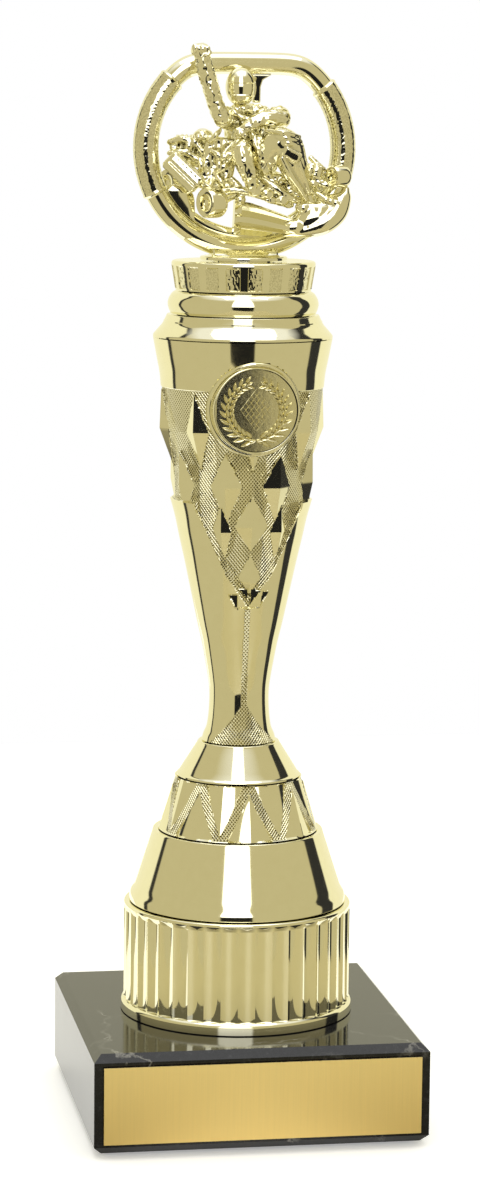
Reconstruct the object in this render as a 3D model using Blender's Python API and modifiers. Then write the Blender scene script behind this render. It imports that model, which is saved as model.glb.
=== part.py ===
"""Column trophy: a kart racer in a steering-wheel ring, on a plated column and a stone base.

Metres, +Z up. The origin is the middle of the footprint on the table, the front is -Y.
Every moulding is threaded on one tie rod along the Z axis and clamped by the nut in the base.
"""
import bpy
import bmesh
from math import cos, degrees, pi, radians, sin
from mathutils import Matrix, Vector

MM = 0.001
GAP = 0.3 * MM                  # air left between two pieces that touch

# stone base, its feet and its plate
BASE_SIDE = 100 * MM
BASE_HEIGHT = 30 * MM
BASE_CHAMFER = 2.3 * MM
PAD_RADIUS = 6 * MM
PAD_THICKNESS = 0.9 * MM
PAD_INSET = 12 * MM             # pad centre from the side of the base
PLATE_WIDTH = 94.5 * MM
PLATE_HEIGHT = 23 * MM
PLATE_THICKNESS = 0.6 * MM
TAPE_THICKNESS = 0.4 * MM
TAPE_MARGIN = 1.5 * MM          # tape kept back from the edge of the plate

# fastening along the axis
ROD_RADIUS = 3 * MM
HOLE_CLEARANCE = 0.4 * MM       # rod to the holes it passes through
NUT_ACROSS_FLATS = 10 * MM
NUT_HEIGHT = 5 * MM
WASHER_RADIUS = 11 * MM
WASHER_THICKNESS = 1.6 * MM
COUNTERBORE_DEPTH = 14 * MM
COUNTERBORE_MARGIN = 2 * MM     # washer to counterbore wall
ROD_PROUD = 2 * MM              # rod end beyond the nut
INSERT_RADIUS = 4.5 * MM
INSERT_LENGTH = 6.5 * MM

# plated mouldings: wall, and the height of each one in the stack
WALL = 1.8 * MM
REGISTER_HEIGHT = 1.2 * MM      # ring on a deck that centres the next moulding
REGISTER_WALL = 1.2 * MM
FOOT_RADIUS = 35.3 * MM
FOOT_HEIGHT = 33.5 * MM
FLUTE_COUNT = 42
FLUTE_RADIUS = 2.2 * MM
FLUTE_DEPTH = 0.7 * MM
SHOULDER_RADIUS = 33.1 * MM
SHOULDER_TOP_RADIUS = 25.9 * MM
SHOULDER_HEIGHT = 21.9 * MM
BAND_RADIUS = 24.3 * MM
BAND_TOP_RADIUS = 19.3 * MM
BAND_HEIGHT = 16.2 * MM
BAND_POINTS = 8                 # zigzag points round the band
NECK_RADIUS = 19.0 * MM
NECK_TOP_RADIUS = 12.2 * MM
NECK_HEIGHT = 10.4 * MM
VASE_HEIGHT = 121.7 * MM
VASE_WAIST_RADIUS = 9.1 * MM
VASE_BODY_RADIUS = 24.4 * MM
VASE_RIM_RADIUS = 26.8 * MM
LID_HEIGHT = 6.6 * MM
LID_TOP_RADIUS = 22.8 * MM
COLLAR_RADIUS = 22.6 * MM
COLLAR_HEIGHT = 6.7 * MM
KNURL_RADIUS = 21.5 * MM
KNURL_HEIGHT = 8.7 * MM
KNURL_PANELS = 18
KNURL_DEPTH = 0.4 * MM

# medal on the front of the vase
MEDAL_RADIUS = 12 * MM
MEDAL_THICKNESS = 0.9 * MM
MEDAL_PAD_THICKNESS = 0.4 * MM
MEDAL_RISE = 102 * MM           # centre above the bottom of the vase
MEDAL_FACE = 25.6 * MM          # front of the holder from the axis
HOLDER_LIP = 0.5 * MM
HOLDER_FLANGE = 1.3 * MM
HOLDER_DEPTH = 8 * MM

# figure: ring sizes, heights above the column top
SPIGOT_RADIUS = 9 * MM
SPIGOT_LENGTH = 7 * MM
FOOT_DISC_RADIUS = 13 * MM
FOOT_DISC_HEIGHT = 1 * MM
STUB_WIDTH = 20 * MM
STUB_DEPTH = 9 * MM
RING_RISE = 33.1 * MM           # ring centre above the column top
RING_RADIUS = 29.6 * MM         # middle of the tube
RING_FLAT = 24.9 * MM           # middle of the flat top above the ring centre
RIM_TUBE = 3.2 * MM
GRIP_TUBE = 3.8 * MM
GRIP_ENDS_LEFT = (137.5, 206.9)     # degrees round the ring from +X
GRIP_ENDS_RIGHT = (-15.8, 37.9)

TURN_STEPS = 36

for old in list(bpy.data.objects):
    bpy.data.objects.remove(old, do_unlink=True)

trophy = bpy.data.collections.new("column_trophy")
cutters = bpy.data.collections.new("cutters")
bpy.context.scene.collection.children.link(trophy)
bpy.context.scene.collection.children.link(cutters)


# ---------------------------------------------------------------- tools

def material(name, colour, roughness, metallic):
    made = bpy.data.materials.new(name)
    made.use_nodes = True
    shader = made.node_tree.nodes["Principled BSDF"]
    shader.inputs["Base Color"].default_value = (*colour, 1)
    shader.inputs["Roughness"].default_value = roughness
    shader.inputs["Metallic"].default_value = metallic
    made.diffuse_color = (*colour, 1)
    return made


GOLD = material("plated_gold", (0.66, 0.58, 0.28), 0.12, 1)
STONE = material("black_marble", (0.015, 0.016, 0.018), 0.1, 0)
PLATE_GOLD = material("plate_gold", (0.65, 0.48, 0.17), 0.3, 1)
FOAM = material("foot_foam", (0.03, 0.03, 0.03), 0.9, 0)
TAPE = material("adhesive_tape", (0.8, 0.8, 0.76), 0.7, 0)
STEEL = material("zinc_steel", (0.6, 0.6, 0.62), 0.35, 1)
BRASS = material("insert_brass", (0.7, 0.5, 0.2), 0.3, 1)


def empty(name, z):
    made = bpy.data.objects.new(name, None)
    made.location = (0, 0, z)
    made.empty_display_size = 10 * MM
    trophy.objects.link(made)
    return made


def place(obj, finish, holder=None):
    """Put a finished piece in the trophy, with its material, under its axis empty."""
    obj.data.materials.append(finish)
    trophy.objects.link(obj)
    if holder:
        bpy.context.view_layer.update()
        obj.parent = holder
        obj.matrix_parent_inverse = holder.matrix_world.inverted()
    return obj


def as_cutter(obj):
    cutters.objects.link(obj)
    obj.display_type = 'WIRE'
    obj.hide_render = True
    return obj


def combine(obj, other, operation):
    step = obj.modifiers.new(operation.lower(), 'BOOLEAN')
    step.operation = operation
    step.object = other


def mesh_object(name, bm, smooth_angle=None):
    mesh = bpy.data.meshes.new(name)
    bm.to_mesh(mesh)
    bm.free()
    if smooth_angle:
        mesh.shade_smooth()
        mesh.set_sharp_from_angle(angle=radians(smooth_angle))
    return bpy.data.objects.new(name, mesh)


def turned(name, outline, steps=TURN_STEPS):
    """Turn a closed outline of (radius, height) points, outer side from top to bottom, about Z."""
    bm = bmesh.new()
    points = [bm.verts.new((radius, 0, height)) for radius, height in outline]
    for first, second in zip(points, points[1:] + points[:1]):
        if first.co.x or second.co.x:
            bm.edges.new((first, second))
    obj = mesh_object(name, bm)
    screw = obj.modifiers.new("turn", 'SCREW')
    screw.steps = steps
    screw.render_steps = steps
    screw.use_merge_vertices = True
    screw.merge_threshold = 0.00001
    screw.use_smooth_shade = True
    return obj


def block(name, size, centre, chamfer=0.0, turn=None):
    bm = bmesh.new()
    bmesh.ops.create_cube(bm, size=1)
    bmesh.ops.scale(bm, vec=size, verts=bm.verts)
    if chamfer:
        bmesh.ops.bevel(bm, geom=bm.edges, offset=chamfer, segments=1, affect='EDGES')
    obj = mesh_object(name, bm)
    obj.location = centre
    if turn:
        obj.rotation_euler = turn
    return obj


def round_bar(name, radius, low, high, sides=TURN_STEPS):
    bm = bmesh.new()
    bmesh.ops.create_cone(bm, cap_ends=True, segments=sides, radius1=radius, radius2=radius,
                          depth=high - low)
    bmesh.ops.translate(bm, vec=(0, 0, (high + low) / 2), verts=bm.verts)
    return mesh_object(name, bm, 40)


def egg(name, radii, centre, turn=(0, 0, 0)):
    bm = bmesh.new()
    bmesh.ops.create_uvsphere(bm, u_segments=20, v_segments=12, radius=1)
    bmesh.ops.scale(bm, vec=radii, verts=bm.verts)
    obj = mesh_object(name, bm, 60)
    obj.location = centre
    obj.rotation_euler = turn
    return obj


def tube(name, points, radius, swell=None):
    """A filled tube through the points; swell gives each point's share of the radius."""
    curve = bpy.data.curves.new(name, 'CURVE')
    curve.dimensions = '3D'
    curve.bevel_depth = radius
    curve.bevel_resolution = 2
    curve.use_fill_caps = True
    path = curve.splines.new('POLY')
    path.points.add(len(points) - 1)
    for index, point in enumerate(points):
        path.points[index].co = (*point, 1)
        path.points[index].radius = swell[index] if swell else 1
    return bpy.data.objects.new(name, curve)


def sheet(name, outline, thickness, centre, turn=(pi / 2, 0, 0)):
    """A flat outline of (x, z) points, given a thickness and stood upright."""
    curve = bpy.data.curves.new(name, 'CURVE')
    curve.dimensions = '2D'
    curve.fill_mode = 'BOTH'
    curve.extrude = thickness / 2
    path = curve.splines.new('POLY')
    path.points.add(len(outline) - 1)
    for index, (x, z) in enumerate(outline):
        path.points[index].co = (x, z, 0, 1)
    path.use_cyclic_u = True
    obj = bpy.data.objects.new(name, curve)
    obj.location = centre
    obj.rotation_euler = turn
    return obj


def shell_outline(outer, hole, wall=WALL, deck=WALL, register=0.0):
    """A cap with its deck on top and its open side down, from its outer side's points."""
    top = outer[0][1]
    bottom = outer[-1][1]
    points = [(hole, top)]
    if register:
        inside = register - REGISTER_WALL
        points += [(inside, top), (inside, top + REGISTER_HEIGHT),
                   (register, top + REGISTER_HEIGHT), (register, top)]
    points += outer
    points += [(outer[-1][0] - wall, bottom)]
    points += [(radius - wall, height) for radius, height in reversed(outer[1:-1])
               if height < top - deck - wall / 2]
    points += [(outer[1][0] - wall, top - deck), (hole, top - deck)]
    return points


ROD_HOLE = ROD_RADIUS + HOLE_CLEARANCE
column_axis = empty("column_axis", PAD_THICKNESS + GAP + BASE_HEIGHT)


# ---------------------------------------------------------------- stone base

BASE_LOW = PAD_THICKNESS + GAP
BASE_TOP = BASE_LOW + BASE_HEIGHT
BORE_RADIUS = WASHER_RADIUS + COUNTERBORE_MARGIN


def stone_base():
    """Sawn block, chamfered along its top and bottom edges, bored and counterbored."""
    bm = bmesh.new()
    bmesh.ops.create_cube(bm, size=1)
    bmesh.ops.scale(bm, vec=(BASE_SIDE, BASE_SIDE, BASE_HEIGHT), verts=bm.verts)
    bmesh.ops.translate(bm, vec=(0, 0, BASE_LOW + BASE_HEIGHT / 2), verts=bm.verts)
    flat_edges = [edge for edge in bm.edges
                  if abs(edge.verts[0].co.z - edge.verts[1].co.z) < BASE_HEIGHT / 2]
    bmesh.ops.bevel(bm, geom=flat_edges, offset=BASE_CHAMFER, segments=1, affect='EDGES')
    base = mesh_object("marble_base", bm)
    bore = as_cutter(round_bar("base_bore", ROD_HOLE, BASE_LOW - MM, BASE_TOP + MM))
    sink = as_cutter(round_bar("base_counterbore", BORE_RADIUS, BASE_LOW - MM,
                               BASE_LOW + COUNTERBORE_DEPTH))
    combine(base, bore, 'DIFFERENCE')
    combine(base, sink, 'DIFFERENCE')
    return place(base, STONE)


def foot_pads():
    reach = BASE_SIDE / 2 - PAD_INSET
    for number, (side, end) in enumerate([(-1, -1), (1, -1), (1, 1), (-1, 1)], start=1):
        pad = round_bar(f"foot_pad_{number}", PAD_RADIUS, 0, PAD_THICKNESS, 24)
        pad.location = (side * reach, end * reach, 0)
        place(pad, FOAM)


def front_plate():
    """Engraving plate and the tape that holds it on the front face."""
    middle = BASE_LOW + BASE_HEIGHT / 2
    face = -BASE_SIDE / 2 - GAP
    tape_size = (PLATE_WIDTH - 2 * TAPE_MARGIN, TAPE_THICKNESS, PLATE_HEIGHT - 2 * TAPE_MARGIN)
    place(block("plate_tape", tape_size, (0, face - TAPE_THICKNESS / 2, middle)), TAPE)
    face -= TAPE_THICKNESS + GAP
    plate_size = (PLATE_WIDTH, PLATE_THICKNESS, PLATE_HEIGHT)
    place(block("name_plate", plate_size, (0, face - PLATE_THICKNESS / 2, middle)), PLATE_GOLD)


stone_base()
foot_pads()
front_plate()


# ---------------------------------------------------------------- column mouldings

FOOT_LOW = BASE_TOP + GAP
FOOT_TOP = FOOT_LOW + FOOT_HEIGHT
SHOULDER_LOW = FOOT_TOP + GAP
SHOULDER_TOP = SHOULDER_LOW + SHOULDER_HEIGHT
BAND_LOW = SHOULDER_TOP + GAP
BAND_TOP = BAND_LOW + BAND_HEIGHT
NECK_LOW = BAND_TOP + GAP
NECK_TOP = NECK_LOW + NECK_HEIGHT
VASE_LOW = NECK_TOP + GAP
VASE_TOP = VASE_LOW + VASE_HEIGHT
LID_LOW = VASE_TOP + GAP
LID_TOP = LID_LOW + LID_HEIGHT
COLLAR_LOW = LID_TOP + GAP
COLLAR_TOP = COLLAR_LOW + COLLAR_HEIGHT
KNURL_LOW = COLLAR_TOP + GAP
COLUMN_TOP = KNURL_LOW + KNURL_HEIGHT


def fluted_foot():
    """Round skirt on a low flange, with upright flutes and a flat deck."""
    skirt = FOOT_RADIUS - 0.8 * MM
    lip = FOOT_RADIUS - 1.3 * MM
    outer = [(lip - 0.6 * MM, FOOT_TOP), (lip, FOOT_TOP - 0.6 * MM), (skirt, FOOT_TOP - 3 * MM),
             (skirt, FOOT_LOW + 4.5 * MM), (FOOT_RADIUS, FOOT_LOW + 2.3 * MM),
             (FOOT_RADIUS, FOOT_LOW)]
    register = SHOULDER_RADIUS - WALL - GAP - 0.7 * MM
    foot = turned("fluted_foot", shell_outline(outer, ROD_HOLE, register=register))
    bm = bmesh.new()
    low, high = FOOT_LOW + 5.5 * MM, FOOT_TOP - 4 * MM
    reach = skirt - FLUTE_DEPTH + FLUTE_RADIUS
    for flute in range(FLUTE_COUNT):
        turn = 2 * pi * flute / FLUTE_COUNT
        made = bmesh.ops.create_cone(bm, cap_ends=True, segments=8, radius1=FLUTE_RADIUS,
                                     radius2=FLUTE_RADIUS, depth=high - low)
        bmesh.ops.translate(bm, vec=(reach * sin(turn), -reach * cos(turn), (low + high) / 2),
                            verts=made["verts"])
    combine(foot, as_cutter(mesh_object("flutes", bm)), 'DIFFERENCE')
    return place(foot, GOLD, column_axis)


def shoulder_cone():
    """Flared cone above the foot, with a short upright edge that leaves a shadow line."""
    outer = [(SHOULDER_TOP_RADIUS - 0.5 * MM, SHOULDER_TOP),
             (SHOULDER_TOP_RADIUS, SHOULDER_TOP - 0.6 * MM),
             (SHOULDER_TOP_RADIUS + 1.8 * MM, SHOULDER_TOP - 6.4 * MM),
             (SHOULDER_RADIUS - 1.5 * MM, SHOULDER_LOW + 4 * MM),
             (SHOULDER_RADIUS, SHOULDER_LOW + 2.2 * MM),
             (SHOULDER_RADIUS, SHOULDER_LOW + 1.2 * MM),
             (SHOULDER_RADIUS - 0.7 * MM, SHOULDER_LOW)]
    register = BAND_RADIUS * cos(pi / BAND_POINTS) - WALL - GAP - 0.6 * MM
    outline = shell_outline(outer, ROD_HOLE, register=register)
    return place(turned("shoulder_cone", outline), GOLD, column_axis)


def faceted_band():
    """Cut-glass band: flat triangles between a lower and an upper ring of points, turned half a step."""
    sides = 2 * BAND_POINTS
    flat = cos(pi / BAND_POINTS)
    bm = bmesh.new()
    rings = []
    for radius, height, offset in ((BAND_RADIUS, BAND_LOW, 1), (BAND_TOP_RADIUS, BAND_TOP, 0)):
        ring = []
        for side in range(sides):
            turn = pi * side / BAND_POINTS
            reach = radius if side % 2 == offset else radius * (1 + flat) / 2
            ring.append(bm.verts.new((reach * sin(turn), -reach * cos(turn), height)))
        rings.append(ring)
    lower, upper = rings
    for side in range(sides):
        after = (side + 1) % sides
        if side % 2:
            bm.faces.new((lower[side], lower[after], upper[after]))
            bm.faces.new((lower[side], upper[after], upper[side]))
        else:
            bm.faces.new((lower[side], lower[after], upper[side]))
            bm.faces.new((lower[after], upper[after], upper[side]))
    bm.faces.new(list(reversed(lower)))
    bm.faces.new(upper)
    band = mesh_object("faceted_band", bm)
    low_reach = BAND_RADIUS * flat - WALL
    top_reach = BAND_TOP_RADIUS * flat - WALL
    cavity = as_cutter(turned("band_cavity", [
        (0, BAND_TOP - WALL), (top_reach, BAND_TOP - WALL), (low_reach, BAND_LOW - MM),
        (0, BAND_LOW - MM)]))
    hole = as_cutter(round_bar("band_hole", ROD_HOLE, BAND_LOW, BAND_TOP + MM))
    combine(band, cavity, 'DIFFERENCE')
    combine(band, hole, 'DIFFERENCE')
    return place(band, GOLD, column_axis)


def neck_cone():
    """Smooth cone that carries the stem of the vase."""
    outer = [(NECK_TOP_RADIUS - 0.4 * MM, NECK_TOP), (NECK_TOP_RADIUS, NECK_TOP - 0.4 * MM),
             (NECK_RADIUS - 0.9 * MM, NECK_LOW + 1.1 * MM), (NECK_RADIUS - 0.3 * MM, NECK_LOW + 0.4 * MM),
             (NECK_RADIUS - 0.3 * MM, NECK_LOW)]
    return place(turned("neck_cone", shell_outline(outer, ROD_HOLE)), GOLD, column_axis)


def vase_outer():
    """Outer side of the stem and vase from the rim down, as (radius, height) points."""
    waist = VASE_LOW + 13 * MM
    body_low = VASE_LOW + 96.5 * MM
    points = [(VASE_RIM_RADIUS, VASE_TOP), (VASE_RIM_RADIUS - 1.3 * MM, VASE_TOP - 6.7 * MM),
              (VASE_BODY_RADIUS + 0.3 * MM, VASE_TOP - 11 * MM),
              (VASE_BODY_RADIUS, VASE_TOP - 15 * MM), (VASE_BODY_RADIUS, body_low),
              (VASE_BODY_RADIUS - 3.3 * MM, body_low - 10.2 * MM),
              (VASE_BODY_RADIUS - 4.2 * MM, body_low - 14.5 * MM),
              (VASE_BODY_RADIUS - 4.2 * MM, body_low - 18 * MM)]
    blade_top, blade_radius = body_low - 22.5 * MM, VASE_BODY_RADIUS - 3.1 * MM
    points.append((blade_radius, blade_top))
    swell = (blade_radius - VASE_WAIST_RADIUS) / (blade_top - waist) ** 1.45
    for share in (0.85, 0.7, 0.55, 0.4, 0.25, 0.1):
        height = waist + share * (blade_top - waist)
        points.append((VASE_WAIST_RADIUS + swell * (height - waist) ** 1.45, height))
    points += [(VASE_WAIST_RADIUS, waist), (VASE_WAIST_RADIUS, waist - 4 * MM),
               (VASE_WAIST_RADIUS + 0.7 * MM, waist - 9 * MM),
               (NECK_TOP_RADIUS - 0.8 * MM, VASE_LOW)]
    return points


MEDAL_HEIGHT = VASE_LOW + MEDAL_RISE
HOLDER_OUTER = MEDAL_RADIUS + GAP + HOLDER_LIP
FLANGE_RADIUS = HOLDER_OUTER + HOLDER_FLANGE


def to_front(obj):
    """Turn a piece made along +Z so that its axis points out of the front at medal height."""
    obj.rotation_euler = (pi / 2, 0, 0)
    obj.location = (0, 0, MEDAL_HEIGHT)
    return obj


def vase():
    """Stem and vase in one hollow moulding, open at the rim, with a hole for the medal holder."""
    outer = vase_outer()
    floor = VASE_LOW + 2 * WALL
    corners = (outer[0], outer[4], outer[8], outer[10], outer[12], outer[15], outer[16])
    inner = [(radius - WALL, height) for radius, height in reversed(corners)]
    outline = outer + [(ROD_HOLE, VASE_LOW), (ROD_HOLE, floor), (inner[0][0], floor)] + inner
    body = turned("vase_body", outline)
    window = as_cutter(to_front(round_bar("medal_window", FLANGE_RADIUS + GAP, 8 * MM, 40 * MM)))
    combine(body, window, 'DIFFERENCE')
    return place(body, GOLD, column_axis)


def medal():
    """Round holder with a flange that follows the vase, the pad in its recess and the medal."""
    back = MEDAL_FACE - HOLDER_DEPTH
    recess_floor = MEDAL_FACE - 2.1 * MM
    holder = to_front(round_bar("medal_holder", FLANGE_RADIUS, back, MEDAL_FACE))
    proud = [(radius + 0.4 * MM, height) for radius, height in vase_outer()]
    follow = as_cutter(turned("flange_follow", [(0, VASE_TOP)] + proud + [(0, VASE_LOW)]))
    boss = as_cutter(to_front(round_bar("holder_boss", HOLDER_OUTER, back + MM, MEDAL_FACE)))
    recess = as_cutter(to_front(round_bar("holder_recess", MEDAL_RADIUS + GAP, recess_floor,
                                          MEDAL_FACE + MM)))
    combine(holder, follow, 'INTERSECT')
    combine(holder, boss, 'UNION')
    combine(holder, recess, 'DIFFERENCE')
    place(holder, GOLD, column_axis)
    pad_low = recess_floor + GAP
    pad_high = pad_low + MEDAL_PAD_THICKNESS
    pad = to_front(round_bar("medal_pad", MEDAL_RADIUS - 0.5 * MM, pad_low, pad_high))
    place(pad, TAPE, column_axis)
    disc = to_front(round_bar("medal_insert", MEDAL_RADIUS, pad_high + GAP,
                              pad_high + GAP + MEDAL_THICKNESS))
    place(disc, GOLD, column_axis)


def vase_lid():
    """Low cone that closes the vase."""
    outer = [(LID_TOP_RADIUS - 0.3 * MM, LID_TOP), (LID_TOP_RADIUS, LID_TOP - 0.4 * MM),
             (LID_TOP_RADIUS + 1.2 * MM, LID_TOP - 2.7 * MM),
             (VASE_RIM_RADIUS, LID_LOW + 0.4 * MM), (VASE_RIM_RADIUS - 0.1 * MM, LID_LOW)]
    return place(turned("vase_lid", shell_outline(outer, ROD_HOLE)), GOLD, column_axis)


def rim_collar():
    """Rounded collar between the lid and the knurled ring."""
    outer = [(COLLAR_RADIUS - 2.2 * MM, COLLAR_TOP),
             (COLLAR_RADIUS - 1.6 * MM, COLLAR_TOP - 0.8 * MM),
             (COLLAR_RADIUS - 0.5 * MM, COLLAR_TOP - 1.7 * MM),
             (COLLAR_RADIUS, COLLAR_TOP - 2.6 * MM), (COLLAR_RADIUS, COLLAR_LOW + 0.6 * MM),
             (COLLAR_RADIUS - 0.5 * MM, COLLAR_LOW)]
    return place(turned("rim_collar", shell_outline(outer, ROD_HOLE)), GOLD, column_axis)


def knurled_ring():
    """Seat for the figure, with textured panels let into its side and a socket for the spigot."""
    outer = [(KNURL_RADIUS - 0.8 * MM, COLUMN_TOP), (KNURL_RADIUS - 0.3 * MM, COLUMN_TOP - 0.6 * MM),
             (KNURL_RADIUS, COLUMN_TOP - 2 * MM), (KNURL_RADIUS, KNURL_LOW + 3.4 * MM),
             (KNURL_RADIUS - 0.8 * MM, KNURL_LOW + 0.7 * MM), (KNURL_RADIUS - 1 * MM, KNURL_LOW)]
    socket = SPIGOT_RADIUS + GAP
    socket_floor = COLUMN_TOP - SPIGOT_LENGTH - GAP
    outline = [(socket, COLUMN_TOP)] + outer + [
        (KNURL_RADIUS - 1 * MM - WALL, KNURL_LOW), (KNURL_RADIUS - WALL, COLUMN_TOP - WALL),
        (socket + WALL, COLUMN_TOP - WALL), (socket + WALL, KNURL_LOW), (ROD_HOLE, KNURL_LOW),
        (ROD_HOLE, socket_floor), (socket, socket_floor)]
    ring = turned("knurled_ring", outline)
    bm = bmesh.new()
    pitch = 2 * pi / KNURL_PANELS
    for panel in range(KNURL_PANELS):
        made = bmesh.ops.create_cube(bm, size=1)["verts"]
        bmesh.ops.scale(bm, vec=(0.68 * pitch * KNURL_RADIUS, 2 * MM, 4.6 * MM), verts=made)
        reach = KNURL_RADIUS - KNURL_DEPTH + MM
        bmesh.ops.translate(bm, vec=(0, -reach, KNURL_LOW + 4.1 * MM), verts=made)
        bmesh.ops.rotate(bm, matrix=Matrix.Rotation(panel * pitch, 3, 'Z'), verts=made)
    combine(ring, as_cutter(mesh_object("knurl_panels", bm)), 'DIFFERENCE')
    return place(ring, GOLD, column_axis)


fluted_foot()
shoulder_cone()
faceted_band()
neck_cone()
vase()
medal()
vase_lid()
rim_collar()
knurled_ring()


# ---------------------------------------------------------------- fastening

NUT_SEAT = BASE_LOW + COUNTERBORE_DEPTH - GAP - WASHER_THICKNESS
nut_axis = empty("nut_axis", NUT_SEAT)


def fastening():
    """Tie rod from the base to the figure's insert, with its washer and nut in the counterbore."""
    washer_outline = [(ROD_HOLE, NUT_SEAT + WASHER_THICKNESS), (WASHER_RADIUS, NUT_SEAT + WASHER_THICKNESS),
                      (WASHER_RADIUS, NUT_SEAT), (ROD_HOLE, NUT_SEAT)]
    place(turned("base_washer", washer_outline, 32), STEEL, nut_axis)
    nut_top = NUT_SEAT - GAP
    nut_low = nut_top - NUT_HEIGHT
    corner = NUT_ACROSS_FLATS / 2 / cos(pi / 6)
    nut = round_bar("base_nut", corner, nut_low, nut_top, 6)
    thread = as_cutter(round_bar("nut_thread", ROD_RADIUS + GAP, nut_low - MM, nut_top + MM, 32))
    combine(nut, thread, 'DIFFERENCE')
    place(nut, STEEL, nut_axis)
    rod_top = COLUMN_TOP - GAP
    place(round_bar("tie_rod", ROD_RADIUS, nut_low - ROD_PROUD, rod_top, 24), STEEL)


fastening()


# ---------------------------------------------------------------- figure: foot and ring

figure_axis = empty("figure_axis", COLUMN_TOP)
DISC_LOW = COLUMN_TOP + GAP
RING_HEIGHT = COLUMN_TOP + RING_RISE


def figure_foot():
    """Spigot, disc and stub under the ring, with the brass insert that takes the tie rod."""
    spigot_low = COLUMN_TOP - SPIGOT_LENGTH
    disc_top = DISC_LOW + FOOT_DISC_HEIGHT
    bore = INSERT_RADIUS + GAP
    insert_top = spigot_low + GAP + INSERT_LENGTH
    outline = [(0, disc_top), (FOOT_DISC_RADIUS - 0.3 * MM, disc_top),
               (FOOT_DISC_RADIUS, disc_top - 0.3 * MM), (FOOT_DISC_RADIUS, DISC_LOW),
               (SPIGOT_RADIUS, DISC_LOW), (SPIGOT_RADIUS, spigot_low), (bore, spigot_low),
               (bore, insert_top + GAP), (0, insert_top + GAP)]
    foot = turned("figure_foot", outline)
    stub_top = RING_HEIGHT - RING_RADIUS + RIM_TUBE * 0.4
    stub = as_cutter(block("foot_stub", (STUB_WIDTH, STUB_DEPTH, stub_top - disc_top + MM),
                           (0, 0, (stub_top + disc_top - MM) / 2)))
    seat = as_cutter(tube_cutter("stub_seat", ring_path(*LOWER_ARC), RIM_TUBE + GAP))
    combine(foot, stub, 'UNION')
    combine(foot, seat, 'DIFFERENCE')
    place(foot, GOLD, figure_axis)
    insert_low = spigot_low + GAP
    thread = ROD_RADIUS + GAP
    insert_outline = [(thread, insert_top), (INSERT_RADIUS, insert_top), (INSERT_RADIUS, insert_low),
                      (thread, insert_low)]
    place(turned("threaded_insert", insert_outline, 32), BRASS, figure_axis)


def ring_radius(turn):
    """Distance of the tube's middle from the ring centre; the flat top blends into the circle."""
    height = sin(turn)
    if height < 0.5:
        return RING_RADIUS
    flat = RING_FLAT / height
    return (RING_RADIUS ** -24 + flat ** -24) ** (-1 / 24)


def ring_path(start, end, step=5):
    """Points along the ring from start to end, in degrees round from +X."""
    count = max(2, round(abs(end - start) / step))
    points = []
    for index in range(count + 1):
        turn = radians(start + (end - start) * index / count)
        reach = ring_radius(turn)
        points.append((reach * cos(turn), 0, RING_HEIGHT + reach * sin(turn)))
    return points


def tube_cutter(name, points, radius):
    """The tube as a closed mesh, for use in a Boolean."""
    drawn = tube(name, points, radius)
    cutters.objects.link(drawn)
    bpy.context.view_layer.update()
    mesh = bpy.data.meshes.new_from_object(drawn.evaluated_get(bpy.context.evaluated_depsgraph_get()))
    bm = bmesh.new()
    bm.from_mesh(mesh)
    bmesh.ops.remove_doubles(bm, verts=bm.verts, dist=0.00001)
    bm.to_mesh(mesh)
    bm.free()
    solid = bpy.data.objects.new(name + "_solid", mesh)
    solid.matrix_world = drawn.matrix_world
    bpy.data.objects.remove(drawn, do_unlink=True)
    return solid


JOIN = degrees(2.4 * GAP / RING_RADIUS) / 2    # half a ring gap; the cut ends lean, so it is wide
LOWER_ARC = (GRIP_ENDS_LEFT[1] + JOIN, 360 + GRIP_ENDS_RIGHT[0] - JOIN)
TOP_BAR = (GRIP_ENDS_RIGHT[1] + JOIN, GRIP_ENDS_LEFT[0] - JOIN)


def ring():
    """Steering-wheel ring: smooth top bar and lower arc, with two thicker grips between them."""
    pieces = (("wheel_top_bar", TOP_BAR, RIM_TUBE), ("wheel_lower_arc", LOWER_ARC, RIM_TUBE),
              ("wheel_grip_left", (GRIP_ENDS_LEFT[0] + JOIN, GRIP_ENDS_LEFT[1] - JOIN), GRIP_TUBE),
              ("wheel_grip_right", (GRIP_ENDS_RIGHT[0] + JOIN, GRIP_ENDS_RIGHT[1] - JOIN), GRIP_TUBE))
    for name, (start, end), radius in pieces:
        place(tube(name, ring_path(start, end), radius), GOLD, figure_axis)


def spokes():
    """Flared spoke under the top bar and the flat spoke at the lower left."""
    under_bar = RING_HEIGHT + RING_FLAT - RIM_TUBE - 1.5 * GAP
    flare = [(-4.5, 0), (-1.5, -1.6), (-1.1, -4), (-1.1, -8), (1.1, -8), (1.1, -4), (1.5, -1.6),
             (4.5, 0)]
    outline = [(x * MM, z * MM) for x, z in flare]
    spoke = sheet("wheel_spoke_top", outline, 2.4 * MM, (3.4 * MM, 1 * MM, under_bar))
    place(spoke, GOLD, figure_axis)
    inside = RING_RADIUS - RIM_TUBE - GAP
    rim_side = [(inside * cos(radians(turn)), inside * sin(radians(turn))) for turn in
                (210, 216, 222, 228, 234)]
    plate = [(-15.2 * MM, -15.5 * MM), (-16.2 * MM, -13.2 * MM), (-20.2 * MM, -11 * MM)]
    spoke = sheet("wheel_spoke_left", rim_side + plate, 2.4 * MM, (0, 0, RING_HEIGHT))
    place(spoke, GOLD, figure_axis)


figure_foot()
ring()
spokes()


# ---------------------------------------------------------------- figure: kart and driver

def at(x, y, z):
    """A place in the figure, in millimetres from the ring centre."""
    return Vector((x * MM, y * MM, RING_HEIGHT + z * MM))


def along(direction):
    """The turn that takes +Z to the direction."""
    return Vector(direction).to_track_quat('Z', 'Y').to_euler()


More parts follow.
